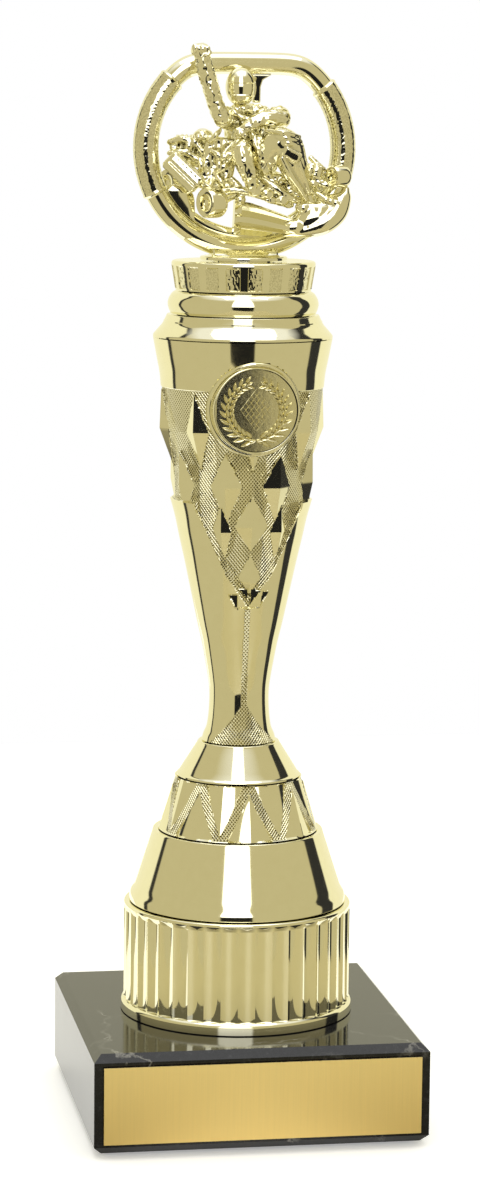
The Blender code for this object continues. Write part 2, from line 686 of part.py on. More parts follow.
def limb(name, points, radii):
    """A rounded limb through places in the figure, with a radius in millimetres at each."""
    widest = max(radii)
    swell = [radius / widest for radius in radii]
    place(tube(name, [at(*point) for point in points], widest * MM, swell), GOLD, figure_axis)


def kart():
    """Kart that comes out of the ring towards the front right, nose down."""
    pod = block("kart_side_pod", (6.5 * MM, 4.5 * MM, 13 * MM), at(-19.2, -6.5, -7.2), 0.8 * MM,
                along((0.66, -0.25, -0.71)))
    place(pod, GOLD, figure_axis)
    engine = block("kart_engine", (15 * MM, 8 * MM, 8.5 * MM), at(-15.6, 3.2, -1.0), 1.2 * MM,
                   (0, radians(4), 0))
    place(engine, GOLD, figure_axis)
    wheel = round_bar("kart_wheel_right", 4.5 * MM, -2.8 * MM, 2.8 * MM, 24)
    wheel.location = at(-11.2, -9.5, -15.8)
    wheel.rotation_euler = along((-0.88, -0.47, 0))
    place(wheel, GOLD, figure_axis)
    wheel = round_bar("kart_wheel_rear", 4.2 * MM, -2.5 * MM, 2.5 * MM, 24)
    wheel.location = at(-20.5, 6.6, -10.4)
    wheel.rotation_euler = along((-0.88, -0.47, 0))
    place(wheel, GOLD, figure_axis)
    limb("kart_axle", [(-7.5, -7.3, -15.2), (-4.6, -6.2, -13.6)], [1.5, 1.5])
    tray = block("kart_floor", (17 * MM, 11 * MM, 3 * MM), at(3.4, -0.5, -13.4), 0.6 * MM,
                 (0, radians(13), 0))
    place(tray, GOLD, figure_axis)
    bumper = sheet("kart_bumper", [(x * MM, z * MM) for x, z in (
        (-4.4, -25.2), (-3.8, -15.2), (3.5, -16.2), (15.6, -20.2), (11.6, -25.8))], 6 * MM,
        at(0, -8.5, 0))
    place(bumper, GOLD, figure_axis)
    nose = sheet("kart_nose", [(x * MM, z * MM) for x, z in (
        (12.2, -26), (16.2, -20.2), (18.4, -16.6), (25, -14.6), (29.6, -11.4), (30, -17.6),
        (27, -22.4), (20.5, -25.2))], 6 * MM, at(0, -8.5, 0))
    place(nose, GOLD, figure_axis)
    wheel = round_bar("kart_wheel_left", 3.4 * MM, -2.6 * MM, 2.6 * MM, 24)
    wheel.location = at(26.6, -8.3, -8)
    wheel.rotation_euler = along((-0.88, -0.47, 0))
    place(wheel, GOLD, figure_axis)
    hub = block("kart_hub_left", (4 * MM, 5 * MM, 5 * MM), at(20.2, -7.2, -6.5), 0.8 * MM)
    place(hub, GOLD, figure_axis)


def driver():
    """Driver in helmet and suit, one fist raised, knees up on both sides of the column."""
    helmet = egg("driver_helmet", (4.1 * MM, 4.6 * MM, 5.5 * MM), at(-2.3, -5.4, 17.9))
    place(helmet, GOLD, figure_axis)
    torso = egg("driver_torso", (8.4 * MM, 4.6 * MM, 8 * MM), at(1.2, -1.2, 4.5), (0, radians(12), 0))
    place(torso, GOLD, figure_axis)
    limb("driver_arm_raised", [(-8.6, -8.4, 8.2), (-10.9, -8.6, 15), (-13.4, -8.6, 23),
                               (-14.6, -8.4, 30.9)], [2.2, 2.4, 2.5, 2.8])
    limb("driver_arm_bent", [(10.2, -6.3, 9.4), (7, -8.4, 9.2), (2, -9.8, 8.2), (-3.4, -9.6, 5.8)],
         [2.0, 2.2, 2.0, 1.8])
    limb("driver_leg_left", [(8.2, -11, 1.2), (10.8, -11, -2.2), (14.4, -9.6, -8),
                             (17.2, -7.6, -12.4)], [4.0, 4.4, 3.4, 1.6])
    limb("driver_leg_right", [(-2.6, -10.3, 0.5), (-1.6, -10.5, -4), (0.9, -10.3, -11.6)],
         [2.2, 2.9, 2.4])


kart()
driver()
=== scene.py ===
"""Looks of the column trophy: kart racer in a steering-wheel ring on a plated column and a marble base.

The script follows the trophy as it is stacked on its tie rod, from the stone base up to the figure.
Sizes are in millimetres times MM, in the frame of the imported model.
"""
from math import cos, pi, radians, sin, sqrt

import bmesh
import bpy
import numpy as np
from mathutils import Matrix, Vector, noise


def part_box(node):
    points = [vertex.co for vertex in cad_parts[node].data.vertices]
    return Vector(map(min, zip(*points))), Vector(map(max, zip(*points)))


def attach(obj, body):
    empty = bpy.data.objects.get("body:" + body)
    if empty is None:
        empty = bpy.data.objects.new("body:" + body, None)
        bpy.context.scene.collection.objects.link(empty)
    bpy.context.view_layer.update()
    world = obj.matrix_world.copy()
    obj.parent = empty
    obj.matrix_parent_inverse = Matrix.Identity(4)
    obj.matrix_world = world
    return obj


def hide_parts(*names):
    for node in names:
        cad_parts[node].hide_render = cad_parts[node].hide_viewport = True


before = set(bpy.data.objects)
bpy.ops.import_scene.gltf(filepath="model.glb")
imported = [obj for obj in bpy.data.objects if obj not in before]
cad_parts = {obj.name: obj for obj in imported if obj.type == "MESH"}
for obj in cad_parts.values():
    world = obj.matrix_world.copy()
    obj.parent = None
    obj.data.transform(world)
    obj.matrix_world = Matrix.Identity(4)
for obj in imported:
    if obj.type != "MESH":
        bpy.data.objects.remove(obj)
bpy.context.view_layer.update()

MM = 0.001
scene = bpy.context.scene


# ---------------------------------------------------------------- camera
# A product camera a little to the left of the front, level with the top of the column and looking
# slightly down, with a long lens. The picture is upright, so the sensor width is its tall side.
camera_place = Vector((-0.1731, -1.0174, 0.3079))
forward = Vector((0.1662, 0.9754, -0.1445)).normalized()
camera_roll = radians(0.61)
CAMERA_SHIFT = 0.25 * MM        # to the left
level_right = forward.cross(Vector((0, 0, 1))).normalized()
level_up = level_right.cross(forward)
right = level_right * cos(camera_roll) + level_up * sin(camera_roll)
up = level_up * cos(camera_roll) - level_right * sin(camera_roll)
turn = Matrix((right, up, -forward)).transposed()
lens = bpy.data.cameras.new("camera")
lens.lens = 103.7
lens.sensor_width = 36
lens.clip_start, lens.clip_end = 0.05, 50
camera = bpy.data.objects.new("camera", lens)
camera.matrix_world = Matrix.Translation(camera_place - CAMERA_SHIFT * level_right) @ turn.to_4x4()
scene.collection.objects.link(camera)
scene.camera = camera
scene.view_settings.view_transform = 'Standard'


# ---------------------------------------------------------------- light tent and floor
# The trophy stands on a white table in a light tent: pale side walls, a slit in front for the camera
# with a strip light above it, dark gaps at the back corners of the walls and an open white back.
def linear(code):
    """Linear colour of an sRGB hex code."""
    parts = [int(code[i:i + 2], 16) / 255 for i in (1, 3, 5)]
    return (*(p / 12.92 if p <= 0.04045 else ((p + 0.055) / 1.055) ** 2.4 for p in parts), 1)


def add_node(tree, kind, inputs=None, stops=None, **settings):
    """Add a node with its settings, its input values or links, and the stops of its ramp."""
    made = tree.nodes.new(kind)
    for name, value in settings.items():
        setattr(made, name, value)
    for socket, value in (inputs or {}).items():
        if isinstance(value, bpy.types.NodeSocket):
            tree.links.new(value, made.inputs[socket])
        else:
            made.inputs[socket].default_value = value
    if stops:
        ramp = made.color_ramp
        ramp.elements.remove(ramp.elements[1])
        ramp.elements[0].position, ramp.elements[0].color = stops[0][0], stops[0][1]
        for place, colour in stops[1:]:
            ramp.elements.new(place).color = colour
    return made


def grey(level):
    """A neutral colour of a linear brightness."""
    return (level, level, level, 1)


TENT_FRONT = Vector((camera_place.x, camera_place.y, 0)).normalized()
SLIT, GAP_START, GAP_END = 16, 101, 122      # degrees round the tent from the camera
LEFT_GAP_START, LEFT_GAP_END = 108, 115      # the gap on the left is narrower
EDGE, SLIT_EDGE = 0.01, 0.008                # softness of the edges, in half turns
WALL = (0.6, 0.545, 0.34, 1)                 # warm cream cloth
BACK = (1.0, 0.96, 0.7, 1)                   # brighter cloth behind
GAP = grey(0.035)
OVERHEAD_START, OVERHEAD_FULL = 0.86, 0.92   # rise: 0 straight down, 0.5 level, 1 straight up
STRIP_START, STRIP_FULL, STRIP_END, STRIP_GONE = 0.52, 0.54, 0.975, 0.99
STRIP_DARK, STRIP_LIGHT = grey(0.015), grey(2.4)
world = bpy.data.worlds.new("light_tent")
scene.world = world
world.use_nodes = True
tent = world.node_tree
tent.nodes.clear()
ray = add_node(tent, "ShaderNodeTexCoord").outputs["Generated"]
flat = add_node(tent, "ShaderNodeVectorMath", {0: ray, 1: (1, 1, 0)}, operation='MULTIPLY')
flat = add_node(tent, "ShaderNodeVectorMath", {0: flat.outputs[0]}, operation='NORMALIZE')
facing = add_node(tent, "ShaderNodeVectorMath", {0: flat.outputs[0], 1: TENT_FRONT},
                  operation='DOT_PRODUCT')
angle = add_node(tent, "ShaderNodeMath", {0: facing.outputs["Value"]}, operation='ARCCOSINE')
round_tent = add_node(tent, "ShaderNodeMath", {0: angle.outputs[0], 1: pi}, operation='DIVIDE')
height = add_node(tent, "ShaderNodeSeparateXYZ", {0: ray}).outputs["Z"]
rise = add_node(tent, "ShaderNodeMapRange", {0: height, 1: -1.0, 2: 1.0, 3: 0.0, 4: 1.0}).outputs[0]
walls = []
for start, end in ((GAP_START / 180, GAP_END / 180), (LEFT_GAP_START / 180, LEFT_GAP_END / 180)):
    walls.append(add_node(tent, "ShaderNodeValToRGB", {0: round_tent.outputs[0]}, stops=[
        (0, WALL), (start, WALL), (start + EDGE, GAP), (end, GAP), (end + EDGE, BACK)]))
leftward = Vector((TENT_FRONT.y, -TENT_FRONT.x, 0))
to_left = add_node(tent, "ShaderNodeVectorMath", {0: flat.outputs[0], 1: leftward},
                   operation='DOT_PRODUCT')
on_left = add_node(tent, "ShaderNodeMath", {0: to_left.outputs["Value"], 1: 0.0},
                   operation='GREATER_THAN')
walls = add_node(tent, "ShaderNodeMix", {0: on_left.outputs[0], 6: walls[0].outputs[0],
                                         7: walls[1].outputs[0]}, data_type='RGBA')
overhead = add_node(tent, "ShaderNodeValToRGB", {0: rise}, stops=[
    (0, grey(0)), (OVERHEAD_START, grey(0)), (OVERHEAD_FULL, grey(1))])
tent_colour = add_node(tent, "ShaderNodeMix", {0: overhead.outputs[0], 6: walls.outputs[2],
                                               7: grey(1.0)}, data_type='RGBA')
slit_mask = add_node(tent, "ShaderNodeValToRGB", {0: round_tent.outputs[0]}, stops=[
    (0, grey(1)), (SLIT / 180, grey(1)), (SLIT / 180 + SLIT_EDGE, grey(0))])
slit_light = add_node(tent, "ShaderNodeValToRGB", {0: rise}, stops=[
    (0, grey(0)), (STRIP_START, grey(0)), (STRIP_FULL, grey(1)), (STRIP_END, grey(1)),
    (STRIP_GONE, grey(0))])
strip = add_node(tent, "ShaderNodeMix", {0: slit_light.outputs[0], 6: STRIP_DARK, 7: STRIP_LIGHT},
                 data_type='RGBA')
tent_all = add_node(tent, "ShaderNodeMix", {0: slit_mask.outputs[0], 6: tent_colour.outputs[2],
                                            7: strip.outputs[2]}, data_type='RGBA')
# behind the trophy itself the cloth is plain white
seen = add_node(tent, "ShaderNodeLightPath").outputs["Is Camera Ray"]
shown = add_node(tent, "ShaderNodeMix", {0: seen, 6: tent_all.outputs[2], 7: grey(1.0)},
                 data_type='RGBA')
sky = add_node(tent, "ShaderNodeBackground", {"Color": shown.outputs[2], "Strength": 1.0})
add_node(tent, "ShaderNodeOutputWorld", {"Surface": sky.outputs[0]})

# White acrylic table. Seen directly it is evenly white all over, and its painted glow hides the trophy's
# shadow. In the trophy's reflections it carries painted light and shade: the part behind the side walls
# is painted lit and glows; in front it is dim and warm, with painted shade darkest near the base.
table = bpy.data.materials.new("white_acrylic_table")
table.use_nodes = True
tree = table.node_tree
acrylic = tree.nodes["Principled BSDF"]
BACK_SLOPE = 0.62               # the edge of the lit part runs back at this slope on both sides
LIT_START, LIT_FULL = -0.09, -0.07      # Y at which it starts on the middle line
NEAR, FAR, NEAR_SHADE, FAR_SHADE = 0.07, 0.2, 0.26, 0.56     # distances from the axis, brightness there
FLOOR_TINT = (1.0, 0.9, 0.56, 1)
PAINTED_GLOW = 0.35
spot = add_node(tree, "ShaderNodeTexCoord").outputs["Object"]
reach = add_node(tree, "ShaderNodeVectorMath", {0: spot}, operation='LENGTH')
# painted shade: seen in reflections, the table is darker the nearer it lies to the base
near = add_node(tree, "ShaderNodeMapRange", {0: reach.outputs["Value"], 1: NEAR, 2: FAR,
                                             3: NEAR_SHADE, 4: FAR_SHADE})
spot = add_node(tree, "ShaderNodeSeparateXYZ", {0: spot})
aside = add_node(tree, "ShaderNodeMath", {0: spot.outputs["X"]}, operation='ABSOLUTE')
depth = add_node(tree, "ShaderNodeMath", {0: aside.outputs[0], 1: -BACK_SLOPE, 2: spot.outputs["Y"]},
                 operation='MULTIPLY_ADD')
fall = add_node(tree, "ShaderNodeMapRange", {0: depth.outputs[0], 1: LIT_START, 2: LIT_FULL})
direct = add_node(tree, "ShaderNodeLightPath").outputs["Is Camera Ray"]
lit = add_node(tree, "ShaderNodeMath", {0: fall.outputs[0], 1: direct}, operation='MAXIMUM')
dim = add_node(tree, "ShaderNodeMix", {0: near.outputs[0], 6: grey(0), 7: FLOOR_TINT},
               data_type='RGBA')
shade = add_node(tree, "ShaderNodeMix", {0: lit.outputs[0], 6: dim.outputs[2],
                                         7: linear("#F7F7F5")}, data_type='RGBA')
# painted light: where the table is lit it glows, and for camera rays this glow washes out the shadow
painted_glow = add_node(tree, "ShaderNodeMapRange", {0: lit.outputs[0], 3: 0.0, 4: PAINTED_GLOW})
tree.links.new(shade.outputs[2], acrylic.inputs["Base Color"])
tree.links.new(painted_glow.outputs[0], acrylic.inputs["Emission Strength"])
acrylic.inputs["Roughness"].default_value = 0.55
acrylic.inputs["Emission Color"].default_value = (1, 1, 1, 1)
TABLE_FRONT, TABLE_BACK, TABLE_SIDE = -0.45, 0.6, 0.22
plane = bpy.data.meshes.new("table_top")
plane.from_pydata([(-TABLE_SIDE, TABLE_FRONT, 0), (TABLE_SIDE, TABLE_FRONT, 0),
                   (TABLE_SIDE, TABLE_BACK, 0), (-TABLE_SIDE, TABLE_BACK, 0)], [], [(0, 1, 2, 3)])
plane.materials.append(table)
floor = bpy.data.objects.new("table_top", plane)
scene.collection.objects.link(floor)

# Soft overhead box, which gives the ledges and the plate their even light.
box_light = bpy.data.lights.new("overhead_softbox", 'AREA')
box_light.shape = 'RECTANGLE'
box_light.size, box_light.size_y = 1.2, 0.8
box_light.energy = 4.5
softbox = bpy.data.objects.new("overhead_softbox", box_light)
softbox.location = (0, -0.2, 1.5)
scene.collection.objects.link(softbox)


# ---------------------------------------------------------------- stone base
# A sawn and polished block of black marble, bored and counterbored for the tie rod. The polish gives
# a clear mirror over an almost black stone with a few thin pale calcite veins.
def shader_of(name):
    """A new material, its node tree and its Principled shader."""
    made = bpy.data.materials.new(name)
    made.use_nodes = True
    return made, made.node_tree, made.node_tree.nodes["Principled BSDF"]


def finish_node(node_name, finish, edge=0.0, segments=3):
    """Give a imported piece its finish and, where the real edge is broken, a small round edge."""
    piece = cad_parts[node_name]
    piece.data.materials.clear()
    piece.data.materials.append(finish)
    if edge:
        rounding = piece.modifiers.new("edge", 'BEVEL')
        rounding.width = edge
        rounding.segments = segments
        rounding.limit_method = 'ANGLE'
        rounding.angle_limit = radians(25)
        rounding.harden_normals = False


VEIN_SPACING, VEIN_PATCH = 34 * MM, 26 * MM     # between veins, and of the patches that show them
VEIN_BEND, VEIN_SWAY = 18 * MM, 22 * MM         # length and depth of the bends in a vein
SPECKLE = 1.5 * MM
marble, tree, shader = shader_of("polished_black_marble")
place = add_node(tree, "ShaderNodeTexCoord").outputs["Object"]
bend = add_node(tree, "ShaderNodeTexNoise", {"Vector": place, "Scale": 1 / VEIN_BEND, "Detail": 6.0,
                                             "Roughness": 0.62})
sway = add_node(tree, "ShaderNodeVectorMath", {0: bend.outputs["Color"], 1: (VEIN_SWAY,) * 3},
                operation='MULTIPLY')
bent = add_node(tree, "ShaderNodeVectorMath", {0: place, 1: sway.outputs[0]}, operation='ADD')
cells = add_node(tree, "ShaderNodeTexVoronoi", {"Vector": bent.outputs[0], "Scale": 1 / VEIN_SPACING},
                 feature='DISTANCE_TO_EDGE')
vein = add_node(tree, "ShaderNodeValToRGB", {0: cells.outputs["Distance"]}, stops=[
    (0, grey(1)), (0.006, grey(0.55)), (0.02, grey(0))])
patch = add_node(tree, "ShaderNodeTexNoise", {"Vector": place, "Scale": 1 / VEIN_PATCH, "Detail": 3.0})
kept = add_node(tree, "ShaderNodeValToRGB", {0: patch.outputs["Fac"]}, stops=[
    (0, grey(0)), (0.5, grey(0)), (0.66, grey(0.8))])
shown_vein = add_node(tree, "ShaderNodeMath", {0: vein.outputs[0], 1: kept.outputs[0]},
                      operation='MULTIPLY')
fleck = add_node(tree, "ShaderNodeTexNoise", {"Vector": place, "Scale": 1 / SPECKLE, "Detail": 2.0})
ground = add_node(tree, "ShaderNodeValToRGB", {0: fleck.outputs["Fac"]}, stops=[
    (0.35, linear("#131415")), (0.62, linear("#1A1B1D")), (0.74, linear("#2B2C2E"))])
stone = add_node(tree, "ShaderNodeMix", {0: shown_vein.outputs[0], 6: ground.outputs[0],
                                         7: linear("#8E8D88")}, data_type='RGBA')
tree.links.new(stone.outputs[2], shader.inputs["Base Color"])
polish = add_node(tree, "ShaderNodeMapRange", {0: patch.outputs["Fac"], 3: 0.05, 4: 0.16})
tree.links.new(polish.outputs[0], shader.inputs["Roughness"])
shader.inputs["IOR"].default_value = 1.5
shader.inputs["Specular IOR Level"].default_value = 0.32
finish_node("marble_base", marble, 0.25 * MM)


# ---------------------------------------------------------------- foot pads and plate
# Four die-cut discs of black foam under the base. On the front, a sheared plate of gold anodised
# aluminium on double-sided tape: satin, with the fine upright grain of the rolled sheet. The same
# tape holds the medal.
FOAM_CELL = 0.35 * MM
foam, tree, shader = shader_of("black_foam")
place = add_node(tree, "ShaderNodeTexCoord").outputs["Object"]
cells = add_node(tree, "ShaderNodeTexVoronoi", {"Vector": place, "Scale": 1 / FOAM_CELL})
tone = add_node(tree, "ShaderNodeValToRGB", {0: cells.outputs["Distance"]}, stops=[
    (0.1, linear("#0D0D0D")), (0.8, linear("#2A2A2A"))])
tree.links.new(tone.outputs[0], shader.inputs["Base Color"])
pores = add_node(tree, "ShaderNodeBump", {"Height": cells.outputs["Distance"], "Strength": 0.6,
                                          "Distance": 0.1 * MM})
tree.links.new(pores.outputs[0], shader.inputs["Normal"])
shader.inputs["Roughness"].default_value = 0.9
for number in range(1, 5):
    finish_node(f"foot_pad_{number}", foam, 0.15 * MM, 2)

GRAIN_WIDTH = 0.35 * MM         # drawn coarser than the real 0.05 mm grain, which would not show
GRAIN_STRETCH = 0.02            # width of a streak against its height
plate, tree, shader = shader_of("gold_anodised_aluminium_plate")
place = add_node(tree, "ShaderNodeTexCoord").outputs["Object"]
drawn = add_node(tree, "ShaderNodeMapping", {"Vector": place, "Scale": (1, 1, GRAIN_STRETCH)})
grain = add_node(tree, "ShaderNodeTexNoise", {"Vector": drawn.outputs[0], "Scale": 1 / GRAIN_WIDTH,
                                              "Detail": 3.0})
# painted shade and light: the plate's colour runs from darker at the bottom to lighter at the top,
# standing in for the reflection of the table
plate_low, plate_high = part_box("name_plate")
upright = add_node(tree, "ShaderNodeSeparateXYZ", {0: place})
shade_by_height = add_node(tree, "ShaderNodeMapRange", {0: upright.outputs["Z"], 1: plate_low.z,
                                             2: plate_high.z})
plate_colour_painted_shade = add_node(tree, "ShaderNodeMix", {0: shade_by_height.outputs[0], 6: linear("#E0C57C"),
                                       7: linear("#F4DC94")}, data_type='RGBA')
streak = add_node(tree, "ShaderNodeMapRange", {0: grain.outputs["Fac"], 3: 0.94, 4: 1.05})
tone = add_node(tree, "ShaderNodeVectorMath", {0: plate_colour_painted_shade.outputs[2], 3: streak.outputs[0]},
                operation='SCALE')
tree.links.new(tone.outputs[0], shader.inputs["Base Color"])
rough = add_node(tree, "ShaderNodeMapRange", {0: grain.outputs["Fac"], 3: 0.5, 4: 0.62})
tree.links.new(rough.outputs[0], shader.inputs["Roughness"])
shader.inputs["Metallic"].default_value = 0.6
finish_node("name_plate", plate, 0.12 * MM, 2)

TAPE_CELL = 0.8 * MM
tape, tree, shader = shader_of("white_foam_tape")
place = add_node(tree, "ShaderNodeTexCoord").outputs["Object"]
fibre = add_node(tree, "ShaderNodeTexNoise", {"Vector": place, "Scale": 1 / TAPE_CELL, "Detail": 2.0})
tone = add_node(tree, "ShaderNodeValToRGB", {0: fibre.outputs["Fac"]}, stops=[
    (0.3, linear("#D8D6CC")), (0.7, linear("#EDEBE2"))])
tree.links.new(tone.outputs[0], shader.inputs["Base Color"])
shader.inputs["Roughness"].default_value = 0.7
for name in ("plate_tape", "medal_pad"):
    finish_node(name, tape)


# ---------------------------------------------------------------- fluted foot
# Round skirt of injection-moulded ABS, vacuum-metallised with aluminium under a pale gold lacquer.
# The lacquer tints the mirror; the thin moulding leaves it very slightly wavy.
# Where a piece has fine relief, its points carry their place on the net in millimetres and 0 where
# it is smooth, 1 for net, 2 for stipple and 3 for sculpture. The pits of the net and the stipple and
# the creases of the sculpture get painted shade: their colour is darkened.
SINK, SINK_DEPTH = 26 * MM, 0.5 * MM            # length and depth of the waves that moulding leaves
NET_PITCH, NET_LEAN, NET_DEPTH = 1.0, 0.85, 0.6      # width, slope and depth of the diamonds
STIPPLE_PITCH = 0.4 * MM        # drawn about twice as coarse as the real stipple, so that it shows
HAZE = 3 * MM                   # patches of slightly duller lacquer
IS_NET, IS_STIPPLE, IS_CAST = 1.0, 2.0, 3.0
gold, tree, shader = shader_of("gold_metallised_abs")
place = add_node(tree, "ShaderNodeTexCoord").outputs["Object"]
wave = add_node(tree, "ShaderNodeTexNoise", {"Vector": place, "Scale": 1 / SINK, "Detail": 1.0})
ripple = add_node(tree, "ShaderNodeBump", {"Height": wave.outputs["Fac"], "Strength": 0.25,
                                           "Distance": SINK_DEPTH})
net_place = add_node(tree, "ShaderNodeAttribute", attribute_name="net_place").outputs["Vector"]
net_place = add_node(tree, "ShaderNodeSeparateXYZ", {0: net_place}).outputs
ribs = []
for side in (1, -1):            # two sets of ribs that cross in diamonds
    lean = add_node(tree, "ShaderNodeMath", {0: net_place[1], 1: side * NET_LEAN, 2: net_place[0]},
                    operation='MULTIPLY_ADD')
    ribs.append(add_node(tree, "ShaderNodeMath", {0: lean.outputs[0], 1: NET_PITCH / 2},
                         operation='PINGPONG').outputs[0])
pit = add_node(tree, "ShaderNodeMath", {0: ribs[0], 1: ribs[1]}, operation='MINIMUM')
on_net = add_node(tree, "ShaderNodeMath", {0: net_place[2], 1: IS_NET, 2: 0.6}, operation='COMPARE')
pit = add_node(tree, "ShaderNodeMath", {0: pit.outputs[0], 1: on_net.outputs[0]},
               operation='MULTIPLY')
speck = add_node(tree, "ShaderNodeTexNoise", {"Vector": place, "Scale": 1 / STIPPLE_PITCH,
                                              "Detail": 1.0})
on_stipple = add_node(tree, "ShaderNodeMath", {0: net_place[2], 1: IS_STIPPLE, 2: 0.4},
                      operation='COMPARE')
on_cast = add_node(tree, "ShaderNodeMath", {0: net_place[2], 1: IS_CAST - 0.4},
                   operation='GREATER_THAN')
# painted shade in the sculpture's creases, found from the pointiness of the skin
bent = add_node(tree, "ShaderNodeNewGeometry").outputs["Pointiness"]
crease_shade = add_node(tree, "ShaderNodeMapRange", {0: bent, 1: 0.4, 2: 0.5, 3: 1.0, 4: 0.0})
crease_shade = add_node(tree, "ShaderNodeMath", {0: crease_shade.outputs[0], 1: on_cast.outputs[0]},
                operation='MULTIPLY')
# painted shade in the pits of the stipple
stipple = add_node(tree, "ShaderNodeMapRange", {0: speck.outputs["Fac"], 1: 0.4, 2: 0.56,
                                                3: 1.0, 4: 0.0})
stipple = add_node(tree, "ShaderNodeMath", {0: stipple.outputs[0], 1: on_stipple.outputs[0]},
                   operation='MULTIPLY')
# painted shade in the pits of the net
net_pit_shade = add_node(tree, "ShaderNodeMapRange", {0: pit.outputs[0], 1: 0.1, 2: 0.3})
hollow = add_node(tree, "ShaderNodeMath", {0: stipple.outputs[0], 1: 0.3, 2: net_pit_shade.outputs[0]},
                  operation='MULTIPLY_ADD')
hollow = add_node(tree, "ShaderNodeMath", {0: hollow.outputs[0], 1: crease_shade.outputs[0]},
                  operation='MAXIMUM')
relief = add_node(tree, "ShaderNodeBump", {"Height": pit.outputs[0], "Strength": 1.0,
                                           "Distance": NET_DEPTH * MM, "Normal": ripple.outputs[0]},
                  invert=True)
tree.links.new(relief.outputs[0], shader.inputs["Normal"])
haze = add_node(tree, "ShaderNodeTexNoise", {"Vector": place, "Scale": 1 / HAZE, "Detail": 2.0})
lacquer = add_node(tree, "ShaderNodeMix", {0: haze.outputs["Fac"], 6: linear("#EFEACA"),
                                           7: linear("#F4F0D2")}, data_type='RGBA')
# painted shade: the pits and creases are mixed towards dark olive
colour_with_painted_shade = add_node(tree, "ShaderNodeMix", {0: hollow.outputs[0], 6: lacquer.outputs[2],
                                          7: linear("#7C744C")}, data_type='RGBA')
tree.links.new(colour_with_painted_shade.outputs[2], shader.inputs["Base Color"])
dull = add_node(tree, "ShaderNodeMapRange", {0: haze.outputs["Fac"], 3: 0.045, 4: 0.085})
tree.links.new(dull.outputs[0], shader.inputs["Roughness"])
shader.inputs["Metallic"].default_value = 1.0


def add_piece(name, vertices, faces, finish, body, stands_for=(), crease=30, netted=None):
    """A new mesh piece in the frame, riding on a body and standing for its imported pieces."""
    mesh = bpy.data.meshes.new(name)
    mesh.from_pydata([tuple(v) for v in vertices], [], faces)
    mesh.validate()
    bm = bmesh.new()
    bm.from_mesh(mesh)
    bmesh.ops.recalc_face_normals(bm, faces=bm.faces)
    bm.to_mesh(mesh)
    bm.free()
    mesh.shade_smooth()
    mesh.set_sharp_from_angle(angle=radians(crease))
    mesh.materials.append(finish)
    if netted is not None:
        places = mesh.attributes.new("net_place", 'FLOAT_VECTOR', 'POINT')
        places.data.foreach_set("vector", netted.astype(np.float32).ravel())
    piece = bpy.data.objects.new(name, mesh)
    scene.collection.objects.link(piece)
    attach(piece, body)
    if stands_for:
        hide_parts(*stands_for)


def eased(points, radius=0.3, steps=3):
    """The outline with its inner corners rounded by a radius in millimetres."""
    made = [points[0]]
    for before, corner, after in zip(points, points[1:], points[2:]):
        b, c, a = Vector(before), Vector(corner), Vector(after)
        cut = min(radius, (b - c).length * 0.45, (a - c).length * 0.45)
        first, last = c + (b - c).normalized() * cut, c + (a - c).normalized() * cut
        for step in range(steps + 1):
            t = step / steps
            made.append(tuple(first * (1 - t) ** 2 + c * 2 * t * (1 - t) + last * t ** 2))
    return made + [points[-1]]


def split(points, longest):
    """The outline with points added so that no stretch is longer than a length in millimetres."""
    made = [points[0]]
    for first, last in zip(points, points[1:]):
        parts = max(1, round((Vector(last) - Vector(first)).length / longest))
        made += [tuple(Vector(first).lerp(Vector(last), (k + 1) / parts)) for k in range(parts)]
    return made


MOULD_WALL, ROD_HOLE = 1.8, 3.4     # wall of the mouldings, and radius of their hole for the rod
ROUND_STEPS = 192                   # columns of a plain round moulding


def cap_outline(outer, wall=MOULD_WALL, hole=ROD_HOLE):
    """Closed section of a moulded cap from its outer side, top to bottom: deck on top, open below."""
    inner = [(r - wall, z) for r, z in reversed(outer) if z < outer[0][1] - 2 * wall]
    deck = outer[0][1] - wall
    return outer + [(outer[-1][0] - wall, outer[-1][1])] + inner[1:] + [
        (inner[-1][0], deck), (hole, deck), (hole, outer[0][1])]


def lathe(outline, columns, reach=None, base=0.0):
    """Turn a closed outline of (radius, height) in millimetres about Z. Column k is at azimuth
    k / columns of a turn from the front. reach(azimuth, radii, heights) may change the radii."""
    radii = np.array([r for r, z in outline], float)
    heights = np.array([z for r, z in outline], float)
    turns = np.arange(columns) * 2 * pi / columns
    rows = len(outline)
    grid = np.repeat(radii[None, :], columns, 0)
    if reach:
        grid = reach(turns[:, None] + 0 * grid, grid, heights[None, :] + 0 * grid)
    points = np.stack([grid * np.sin(turns)[:, None], -grid * np.cos(turns)[:, None],
                       np.repeat(heights[None, :], columns, 0)], 2).reshape(-1, 3) * MM
    points[:, 2] += base
    faces = []
    for k in range(columns):
        a, b = k * rows, (k + 1) % columns * rows
        for j in range(rows):
            n = (j + 1) % rows
            faces.append((a + j, a + n, b + n, b + j))
    return points, faces


FLUTES = 42
FLUTE_LOW, FLUTE_HIGH = 3.3, 32.5
FLUTE_SINK = 0.75
FLUTE_FOOT, FLUTE_HEAD = 0.3, 1.4       # over which a flute runs out at its foot and its head
FLANGE = 0.8                            # how far the flange stands out from the skirt
STEPS_PER_FLUTE = 10
foot_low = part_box("fluted_foot")[0].z
foot_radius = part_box("fluted_foot")[1].x / MM
skirt = foot_radius - FLANGE


def fluted(turns, radii, heights):
    """Shallow round-bottomed flutes that run out at both ends of the skirt."""
    share = (turns * FLUTES / (2 * pi)) % 1 - 0.5
    hollow = 1 - (2 * share) ** 2
    head = np.clip((FLUTE_HIGH - heights) / FLUTE_HEAD, 0, 1)
    foot = np.clip((heights - FLUTE_LOW) / FLUTE_FOOT, 0, 1)
    outside = radii > skirt - 1.2       # the inner side of the wall stays round
    return radii - outside * FLUTE_SINK * hollow * np.sqrt(head * foot)


